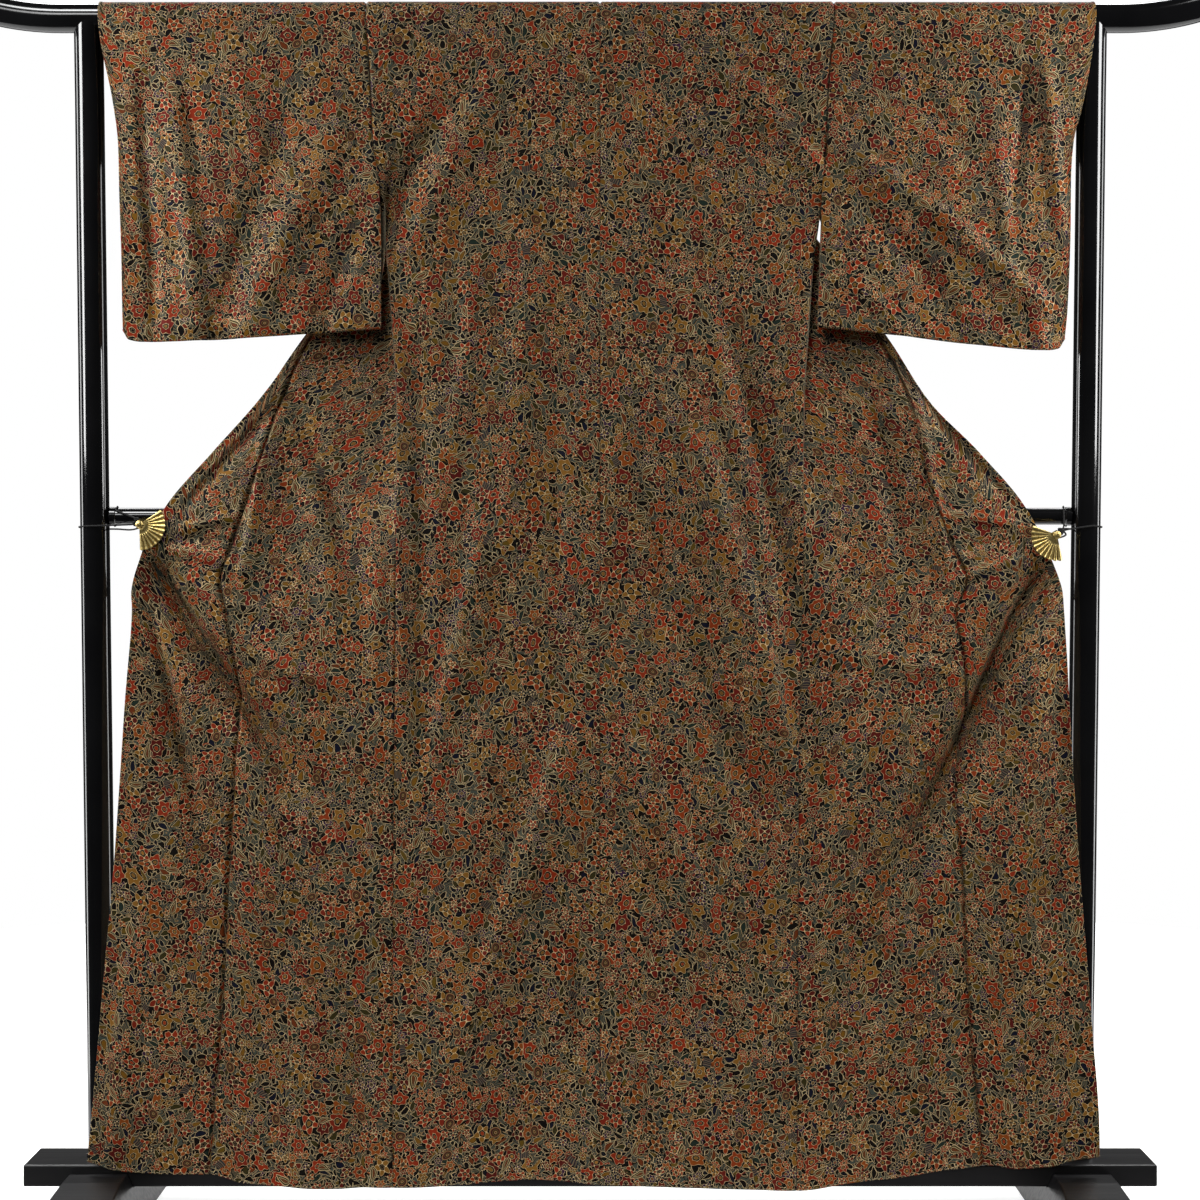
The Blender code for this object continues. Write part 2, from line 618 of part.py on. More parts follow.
def top_rail():
    """Round pipe with both ends bent upward and closed by low domes."""
    bend_steps = 8
    end_turn = math.asin((RAIL_HALF_LENGTH - RAIL_STRAIGHT) / RAIL_BEND_RADIUS)
    half = [Vector((0.0, 0.0, RAIL_Z)), Vector((RAIL_STRAIGHT, 0.0, RAIL_Z))]
    for k in range(1, bend_steps + 1):
        turn = end_turn * k / bend_steps
        half.append(Vector((RAIL_STRAIGHT + RAIL_BEND_RADIUS * math.sin(turn), 0.0,
                            RAIL_Z + RAIL_BEND_RADIUS * (1 - math.cos(turn)))))
    radii = [RAIL_RADIUS] * len(half)
    end_direction = Vector((math.cos(end_turn), 0.0, math.sin(end_turn)))
    end_point = half[-1]
    for turn in (30, 60, 82):
        angle = math.radians(turn)
        half.append(end_point + end_direction * RAIL_RADIUS * 0.5 * math.sin(angle))
        radii.append(RAIL_RADIUS * math.cos(angle))
    points = [Vector((-p.x, p.y, p.z)) for p in half[:0:-1]] + half
    return tube("top_rail", points, radii[:0:-1] + radii, PIPE_SIDES, "black_enamel")


def cutter_bar(name, start, end, radius):
    """A hidden bar that the posts are coped with."""
    bar = tube(name, [start, end], [radius, radius], PIPE_SIDES, "black_enamel")
    bar.hide_render = True
    bar.display_type = "WIRE"
    return bar


def post_x(z):
    share = (z - BEAM_TOP) / (RAIL_Z - BEAM_TOP)
    return POST_FOOT_X + (POST_TOP_X - POST_FOOT_X) * share


def posts():
    """Splayed posts, their tops coped round the underside of the top rail."""
    reach = Vector((RAIL_STRAIGHT, 0.0, 0.0))
    middle = Vector((0.0, 0.0, RAIL_Z))
    saddle = cutter_bar("rail_saddle", middle - reach, middle + reach, RAIL_RADIUS + FIT_GAP)
    for side in (LEFT, RIGHT):
        foot = Vector((side * post_x(BEAM_TOP), 0.0, BEAM_TOP + FIT_GAP))
        head = Vector((side * post_x(RAIL_Z), 0.0, RAIL_Z - 0.002))
        post = tube("post_" + SIDE_NAMES[side], [foot, head], [POST_RADIUS] * 2, PIPE_SIDES,
                    "black_enamel")
        for corner in post.data.vertices:
            if corner.co.z < BEAM_TOP + 0.01:
                corner.co.z = BEAM_TOP + FIT_GAP
        cope = post.modifiers.new("saddle", "BOOLEAN")
        cope.operation = "DIFFERENCE"
        cope.object = saddle


def middle_rail():
    end = post_x(MIDDLE_RAIL_Z) - POST_RADIUS - FIT_GAP
    points = [Vector((x, 0.0, MIDDLE_RAIL_Z)) for x in (-end, 0.0, end)]
    return tube("middle_rail", points, [MIDDLE_RAIL_RADIUS] * 3, 16, "black_enamel")


def base_beam():
    bm = bmesh.new()
    bmesh.ops.create_cube(bm, size=1.0)
    for corner in bm.verts:
        corner.co = Vector((corner.co.x * BEAM_LENGTH, corner.co.y * BEAM_DEPTH,
                            (BEAM_TOP + BEAM_BOTTOM) / 2 + corner.co.z * (BEAM_TOP - BEAM_BOTTOM)))
    beam = finish("base_beam", bm, "black_lacquer")
    round_edges(beam, 0.0022)
    return beam


def round_edges(item, width):
    bevel = item.modifiers.new("worn edge", "BEVEL")
    bevel.width = width
    bevel.segments = 2
    bevel.limit_method = "ANGLE"


def feet():
    """Feet across the beam, notched for it, wider at the floor than on top."""
    notch = BEAM_DEPTH / 2 + FIT_GAP
    profile = [(-0.240, 0.0), (-0.240, 0.022), (-0.200, 0.047), (-0.122, FOOT_TOP), (-notch, FOOT_TOP),
               (-notch, BEAM_BOTTOM - FIT_GAP)]
    profile += [(-y, z) for y, z in reversed(profile)]
    for side in (LEFT, RIGHT):
        bm = bmesh.new()
        rows = []
        for edge in (-1, 1):
            row = []
            for y, z in profile:
                half_width = (FOOT_FLOOR_WIDTH + (FOOT_TOP_WIDTH - FOOT_FLOOR_WIDTH) * z / FOOT_TOP) / 2
                row.append(bm.verts.new((side * FOOT_X + edge * half_width, y, z)))
            rows.append(row)
        bm.faces.new(rows[0])
        bm.faces.new(rows[1][::-1])
        for k in range(len(profile)):
            m = (k + 1) % len(profile)
            bm.faces.new((rows[0][k], rows[0][m], rows[1][m], rows[1][k]))
        foot = finish("foot_" + SIDE_NAMES[side], bm, "black_lacquer", 30)
        round_edges(foot, 0.0015)


def clip_faces(side):
    """Y of the cloth's foremost and rearmost points under a clip, in front of and behind it."""
    pivot_x, pivot_z, middle = CLIP_PIVOT[side]
    front, back = 0.0, -1.0
    for k in range(7):
        for step in range(1, 9):
            turn = math.radians(middle + FAN_OPENING * (k / 6 - 0.5))
            x = pivot_x + FAN_RADIUS * step / 8 * math.cos(turn)
            z = pivot_z + FAN_RADIUS * step / 8 * math.sin(turn)
            if abs(x) < side_value(OKUMI_OUTER, z, side) + 0.004:
                y = ground(x, z) + taut_offset(z)
                front = min(front, y - WALL / 2)
                back = max(back, y + WALL / 2 + COLLAR_AT_CLIP + COLLAR_THICKNESS)
    return front, back


def clip(side):
    """A fan clip: pleated brass fan in front, plain jaw with the pin behind, and a round knob."""
    pivot_x, pivot_z, middle = CLIP_PIVOT[side]
    front, back = clip_faces(side)
    plate_back = front - CLIP_GAP - FAN_PLEAT
    fan_front, fan_back = [], []
    for i in range(4):
        reach = FAN_ROOT + (FAN_RADIUS - FAN_ROOT) * i / 3
        fan_front.append([])
        fan_back.append([])
        for k in range(2 * FAN_RIBS + 1):
            turn = math.radians(middle + FAN_OPENING * (k / (2 * FAN_RIBS) - 0.5))
            pleat = FAN_PLEAT * (1 if k % 2 else -1) * reach / FAN_RADIUS
            x = pivot_x + reach * math.cos(turn)
            z = pivot_z + reach * math.sin(turn)
            fan_front[i].append(garment(x, plate_back - FAN_PLATE + pleat, z))
            fan_back[i].append(garment(x, plate_back + pleat, z))
    wall_object("clip_fan_" + SIDE_NAMES[side], fan_front, fan_back, "brass")

    turn = math.radians(middle)
    along = Vector((math.cos(turn), 0.0, math.sin(turn)))
    across = Vector((-along.z, 0.0, along.x))
    pivot = garment(pivot_x, 0.0, pivot_z)
    jaw_y = back + CLIP_GAP
    near_face, far_face = [], []
    for reach, half_width in ((-0.006, 0.0040), (0.006, 0.0060), (0.018, JAW_WIDTH / 2),
                              (JAW_LENGTH, JAW_WIDTH / 2)):
        row = [pivot + along * reach + across * half_width * s for s in (-1, 0, 1)]
        near_face.append([Vector((p.x, jaw_y, p.z)) for p in row])
        far_face.append([Vector((p.x, jaw_y + JAW_PLATE, p.z)) for p in row])
    jaw = wall_object("clip_jaw_" + SIDE_NAMES[side], near_face, far_face, "brass")
    pin = tube("pin_" + SIDE_NAMES[side],
               [Vector((pivot.x, plate_back - FAN_PLATE / 2, pivot.z)),
                Vector((pivot.x, jaw_y + JAW_PLATE / 2, pivot.z))],
               [PIN_RADIUS] * 2, 12, "brass")
    pin.hide_render = True
    pin.display_type = "WIRE"
    joined = jaw.modifiers.new("pin", "BOOLEAN")
    joined.operation = "UNION"
    joined.object = pin

    knob_face = plate_back - FAN_PLATE - 2 * FIT_GAP
    dome = [(0.0, 1.0), (0.0010, 1.0), (0.0026, 0.86), (0.0036, 0.58), (0.0040, 0.25)]
    tube("clip_knob_" + SIDE_NAMES[side],
         [Vector((pivot.x, knob_face - depth, pivot.z)) for depth, _ in dome],
         [KNOB_RADIUS * share for _, share in dome], 16, "brass")
    return pivot, plate_back


def cord_curve(points, steps=2):
    """Smooth path through a cord's own points."""
    path = []
    last = len(points) - 1
    for i in range(last):
        before, start = points[max(i - 1, 0)], points[i]
        end, after = points[i + 1], points[min(i + 2, last)]
        for k in range(steps):
            t = k / steps
            path.append(0.5 * (2 * start + (end - before) * t
                               + (2 * before - 5 * start + 4 * end - after) * t ** 2
                               + (3 * start - before - 3 * end + after) * t ** 3))
    return path + [points[last]]


def cords(side, pivot, plate_back):
    """Thin cords that tie a clip to its post and to the middle rail."""
    z = MIDDLE_RAIL_Z - MIDDLE_RAIL_RADIUS - CORD_RADIUS - 0.0022
    axis_x = post_x(z)
    wrap = POST_RADIUS + CORD_RADIUS + FIT_GAP
    pin_gap = PIN_RADIUS + CORD_RADIUS + FIT_GAP
    cord_y = plate_back + CORD_RADIUS + 0.0012
    route = [Vector((pivot.x + side * pin_gap, cord_y, pivot.z + 0.0016)),
             Vector((pivot.x + side * 0.013, cord_y + 0.0035, (pivot.z + z) / 2 + 0.0016))]
    for k in range(9):
        turn = math.radians(-78 + 213 * k / 8)
        route.append(Vector((side * (axis_x + wrap * math.cos(turn)), wrap * math.sin(turn),
                             z + 0.0016 - 0.0034 * k / 8)))
    route.append(Vector((side * (axis_x - POST_RADIUS - 0.011), -0.001, z - 0.0022)))
    route.append(Vector((pivot.x + side * 0.013, cord_y + 0.0070, (pivot.z + z) / 2 - 0.0050)))
    route.append(Vector((pivot.x + side * 0.0012, cord_y + 0.0030, pivot.z - pin_gap - 0.0002)))
    path = cord_curve(route)
    tube("clip_cord_" + SIDE_NAMES[side], path, [CORD_RADIUS] * len(path), CORD_SIDES, "black_braid")

    tie_x = side * 0.616
    round_rail = MIDDLE_RAIL_RADIUS + CORD_RADIUS + 2 * FIT_GAP
    route = [Vector((pivot.x + side * 0.0012, cord_y + 0.0004, pivot.z + pin_gap + 0.0002)),
             Vector((pivot.x + side * 0.010, cord_y + 0.0065, pivot.z + 0.010))]
    for k in range(8):
        turn = math.radians(145 - 240 * k / 7)
        route.append(Vector((tie_x + side * 0.0045 * k / 7, round_rail * math.cos(turn),
                             MIDDLE_RAIL_Z + round_rail * math.sin(turn))))
    path = cord_curve(route)
    tube("clip_tie_" + SIDE_NAMES[side], path, [CORD_RADIUS] * len(path), CORD_SIDES, "black_braid")


def build():
    clear_scene()
    for side in (LEFT, RIGHT):
        back_panel(side)
        front_panel(side)
        okumi_panel(side)
        sleeve(side)
    collar()
    top_rail()
    posts()
    middle_rail()
    base_beam()
    feet()
    for side in (LEFT, RIGHT):
        pivot, plate_back = clip(side)
        cords(side, pivot, plate_back)


build()
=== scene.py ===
"""Looks of a kimono on a display stand, seen from the garment's back, the -Y side.

The kimono hangs over the top rail with its sleeves spread along it. Both fronts are swung outward and
held open by fan clips. The cloth is thin shells on the form of the solids, with one printed silk on all
of them, and the stand is enamelled pipe on a lacquered base.
Units are metres. Tables of the garment give distances from its own centre seam, which is KIMONO_X off
the stand's middle. Left is the wearer's left, at -X.
"""
import functools
import math

import bmesh
import bpy
import numpy as np
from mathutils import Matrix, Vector


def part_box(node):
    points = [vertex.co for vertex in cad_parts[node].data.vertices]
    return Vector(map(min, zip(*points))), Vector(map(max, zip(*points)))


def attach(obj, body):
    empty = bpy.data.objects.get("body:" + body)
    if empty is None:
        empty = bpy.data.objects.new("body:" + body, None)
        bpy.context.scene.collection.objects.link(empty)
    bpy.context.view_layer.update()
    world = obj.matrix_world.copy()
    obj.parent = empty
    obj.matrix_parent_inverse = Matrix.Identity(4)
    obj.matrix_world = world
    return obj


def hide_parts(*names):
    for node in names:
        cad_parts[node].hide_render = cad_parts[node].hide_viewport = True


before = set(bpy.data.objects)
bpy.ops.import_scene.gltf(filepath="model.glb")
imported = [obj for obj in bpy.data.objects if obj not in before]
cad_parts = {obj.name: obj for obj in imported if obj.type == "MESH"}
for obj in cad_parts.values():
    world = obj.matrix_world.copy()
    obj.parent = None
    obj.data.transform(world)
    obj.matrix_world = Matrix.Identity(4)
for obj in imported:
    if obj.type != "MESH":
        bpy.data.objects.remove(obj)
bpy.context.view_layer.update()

MM_PER_M = 1000.0
LEFT, RIGHT = -1, 1
SIDE_NAMES = {LEFT: "left", RIGHT: "right"}

# Camera, as the photograph has it
IMAGE_PIXELS = 1200
FOCAL_PIXELS = 3065
HORIZON_PIXEL = 580
CAMERA_AT = (0.0125, -4.0, 0.819)

# Display stand
RAIL_Z = 1.551
RAIL_RADIUS = 0.019
RAIL_STRAIGHT = 0.69
RAIL_HALF_LENGTH = 0.90
RAIL_BEND_RADIUS = 0.375
POST_RADIUS = 0.019
POST_TOP_X = 0.654
POST_FOOT_X = 0.637
MIDDLE_RAIL_Z = 0.902
MIDDLE_RAIL_RADIUS = 0.011
BEAM_TOP = 0.066
PIPE_SIDES = 64
THIN_SIDES = 40
RAIL_STEPS = 8
BEND_STEPS = 19
BAR_SHARP_EDGE = math.radians(35)

# Cap of the top rail's ends: the joint behind it, as distance and share of the radius, then its dome, as
# degrees round it and its height in radii
CAP_JOINT = ((-0.0040, 1.0), (-0.0034, 0.975), (-0.0028, 1.0))
CAP_TURNS = (15, 30, 45, 60, 72, 82)
CAP_DOME = 0.5

# Ring at a post's foot and at an end of the middle rail: distance from the end, share of the radius
POST_RING = ((0.0, 1.10), (0.0035, 1.10), (0.0040, 1.06), (0.0046, 1.0))
RAIL_RING = ((0.0085, 1.0), (0.0075, 1.10), (0.0010, 1.12), (0.0, 1.06))

# Plain part of a post: where it starts and ends, its steps, and how far down its top is coped
POST_PLAIN = (0.010, 0.002)
POST_STEPS = 16
COPE_REACH = 0.06

# Garment, as in the solids
KIMONO_X = 0.0125
COLLAR_WIDTH = 0.0575
SEAM_GAP = 0.0005
RAIL_CLEARANCE = 0.0010
EDGE_LIFT = 0.0012
WRAP_RADIUS = RAIL_RADIUS + RAIL_CLEARANCE
NECK_ANGLE = math.radians(118)
NECK_STRAIGHT = 0.030
NECK_BEND_RADIUS = 0.065
SHOULDER_DROP = 0.025
NECK_TURN = 0.79
NECK_HALF_WIDTH = 0.081
NECK_EASE = 0.53
COLLAR_END_Z = 0.797
COLLAR_REST = 0.0055
COLLAR_FLARE = 0.10
ARMHOLE_TOP = 1.38
OKUMI_TIP = 1.30
HEM_Z = 0.05
BACK_HEM_WIDTH = 0.26
OKUMI_HEM_REACH = 0.66
FOLD_END_Z = 1.531
FOLD_FADE = 0.06
SLEEVE_BOTTOM_CURVE = 0.003

# Collar: how often its direction and its depth are evened out, the width over which it lifts off its
# seam, where it turns from the neck to the shoulder, and half the height of its change to the okumi
COLLAR_EVENING = (6, 8)
COLLAR_LIFT_WIDTH = 0.015
NECK_FADE = (0.020, 0.050)
TIP_BLEND = 0.04

# Cloth that the collar lies on: the part of the front's section, how finely and how widely it is taken
LAYER_PART = (0.4, 1.0)
LAYER_SAMPLES = 31
LAYER_REACH = 0.006

# Thickness of the cloth in the solids and here, of its turned edges and of the folded collar band
WALL = 0.0015
SLEEVE_WALL = 0.0012
SILK = 0.0008
TURNED_EDGE = 0.0017
EDGE_TURN = 0.004
EDGE_STEP = 0.0015
COLLAR_BAND = 0.0022

# Steps of the cloth's grids
ROW_STEP = 0.0036
BACK_COLUMNS = 66
FRONT_COLUMNS = 68
OKUMI_COLUMNS = 54
SLEEVE_STATIONS = 76
SLEEVE_WALL_ROWS = 84
COLLAR_COLUMNS = 14
RAIL_ROWS = 14
PAST_RAIL_ROWS = 12
SLEEVE_RAIL_ROWS = 24
SLEEVE_BOTTOM_ROWS = 8
NECK_POINTS = 61
TIP_ROWS = 30

# How far the near face of the body hangs toward the viewer: height, y
HANG = (
    (0.03, -0.0700), (0.10, -0.0690), (0.30, -0.0610), (0.60, -0.0480), (0.90, -0.0355),
    (1.20, -0.0268), (1.40, -0.0230), (1.551, -0.0215),
)

# Outer edge of the body panels: height, left side, right side
BODY_EDGE = (
    (0.03, 0.2670, 0.2529), (0.40, 0.2668, 0.2555), (0.65, 0.2653, 0.2582), (0.90, 0.2637, 0.2633),
    (1.05, 0.2640, 0.2646), (1.15, 0.2700, 0.2705), (1.22, 0.2750, 0.2756), (1.29, 0.2820, 0.2848),
    (1.338, 0.2876, 0.2900), (1.386, 0.2946, 0.2938), (1.45, 0.2970, 0.2957), (1.551, 0.3040, 0.3040),
)

# Inner edge of the front panel, which is the collar seam above and the okumi seam below
FRONT_INNER = (
    (0.05, 0.5020, 0.4940), (0.27, 0.4860, 0.4760), (0.45, 0.4775, 0.4680), (0.55, 0.4720, 0.4600),
    (0.656, 0.4670, 0.4740), (0.72, 0.4730, 0.4710), (0.775, 0.4830, 0.4610), (0.818, 0.4910, 0.4760),
    (0.86, 0.4780, 0.4580), (0.94, 0.4520, 0.4290), (1.04, 0.4195, 0.4072), (1.13, 0.3795, 0.3670),
    (1.30, 0.2600, 0.2530), (1.53, 0.0850, 0.0850), (1.551, 0.0810, 0.0810),
)

# Outer edge of the okumi: the taut collar line down to the clip, then the free front edge
OKUMI_OUTER = (
    (0.05, 0.6600, 0.6370), (0.093, 0.6560, 0.6410), (0.27, 0.6410, 0.6300), (0.47, 0.6245, 0.6160),
    (0.66, 0.6125, 0.6060), (0.785, 0.6055, 0.5990), (0.80, 0.6065, 0.5985), (0.857, 0.5920, 0.5790),
    (0.915, 0.5620, 0.5500), (0.983, 0.5040, 0.4930), (1.053, 0.4430, 0.4270), (1.13, 0.3885, 0.3770),
    (1.30, 0.2650, 0.2580), (1.53, 0.0850, 0.0850), (1.551, 0.0810, 0.0810),
)

# Section of a front panel at each height, a curve with a handle at each end: height, edge offset,
# edge pull, edge swing, inner swing, inner pull, inner offset
FRONT_SECTION = (
    (0.03, 0.00075, 0.075, 0.000, 0.000, -0.075, 0.00075),
    (0.60, 0.00075, 0.070, 0.000, 0.000, -0.070, 0.00075),
    (0.70, 0.0010, 0.055, 0.001, 0.001, -0.065, 0.0010),
    (0.80, 0.0026, 0.030, 0.006, 0.004, -0.060, 0.0040),
    (0.88, 0.0030, 0.010, 0.016, 0.008, -0.070, 0.0080),
    (0.95, 0.0030, -0.030, 0.024, 0.016, -0.080, 0.0120),
    (1.04, 0.0030, -0.090, 0.016, 0.022, -0.110, 0.0170),
    (1.13, 0.0030, -0.140, 0.008, 0.022, -0.145, 0.0220),
    (1.22, 0.0042, -0.160, 0.006, 0.020, -0.160, 0.0290),
    (1.30, 0.0110, -0.150, -0.002, 0.006, -0.125, 0.0380),
    (1.35, 0.0180, -0.135, -0.008, -0.014, -0.078, 0.0440),
    (1.40, 0.0240, -0.115, -0.010, -0.026, -0.025, 0.0470),
    (1.45, 0.0310, -0.090, -0.008, -0.018, 0.020, 0.0480),
    (1.50, 0.0370, -0.078, -0.003, -0.006, 0.050, 0.0460),
    (1.551, 0.04300, -0.074, 0.000, 0.000, 0.074, 0.04300),
)

# Hem height against the distance from the centre seam: distance, left side, right side
HEM = (
    (0.0, 0.0427, 0.0427), (0.086, 0.0500, 0.0400), (0.175, 0.0437, 0.0372), (0.255, 0.0386, 0.0360),
    (0.33, 0.0386, 0.0460), (0.41, 0.0411, 0.0550), (0.46, 0.0455, 0.0634), (0.50, 0.0566, 0.0680),
    (0.54, 0.0565, 0.0632), (0.59, 0.0578, 0.0670), (0.62, 0.0616, 0.0745), (0.66, 0.0720, 0.0785),
)

# Sleeve ends: height, left inner edge, right inner edge, left outer edge, right outer edge
SLEEVE_EDGES = (
    (1.12, 0.2823, 0.2805, 0.6160, 0.6000), (1.17, 0.2837, 0.2825, 0.6180, 0.6050),
    (1.25, 0.2852, 0.2855, 0.6195, 0.6083), (1.34, 0.2888, 0.2904, 0.6226, 0.6100),
    (1.386, 0.2955, 0.2947, 0.6245, 0.6135), (1.44, 0.2975, 0.2963, 0.6315, 0.6265),
    (1.52, 0.3025, 0.3020, 0.6475, 0.6400), (1.551, 0.3046, 0.3046, 0.6510, 0.6430),
)

# Bottom of the sleeve along its length, from the body outward: fraction, left height, right height
SLEEVE_BOTTOM = (
    (0.0, 1.1440, 1.1458), (0.30, 1.1365, 1.1360), (0.65, 1.1290, 1.1225), (0.93, 1.1262, 1.1150),
    (0.98, 1.1290, 1.1175), (1.0, 1.1400, 1.1290),
)

# Walls of the sleeve: height, near wall at the body, far wall at the body, near wall at the cuff,
# far wall at the cuff. Under the cuff opening the two walls meet.
SLEEVE_WALLS = (
    (1.11, -0.0330, -0.0296, -0.0325, -0.0298), (1.22, -0.0305, -0.0218, -0.0300, -0.0270),
    (1.30, -0.0290, -0.0125, -0.0290, -0.0260), (1.345, -0.0262, -0.0060, -0.0250, -0.0215),
    (1.386, -0.0236, 0.0003, -0.0217, 0.0110), (1.41, -0.0228, 0.0025, -0.0208, 0.0208),
    (1.50, -0.0212, 0.0156, -0.0207, 0.0207), (1.551, -0.0206, 0.0206, -0.0206, 0.0206),
)

# How far the sleeve laps behind the body at the armhole: height, left side, right side. The near wall
# laps by a share of it, and the lap fades out along the sleeve.
SLEEVE_LAP = (
    (1.20, 0.0, 0.0), (1.24, 0.0060, 0.0), (1.283, 0.0080, 0.0), (1.295, 0.0080, 0.0060),
    (1.33, 0.0066, 0.0056), (1.375, 0.0, 0.0),
)
NEAR_LAP = 0.25
LAP_FADE = 12
LAP_BACK = 0.2

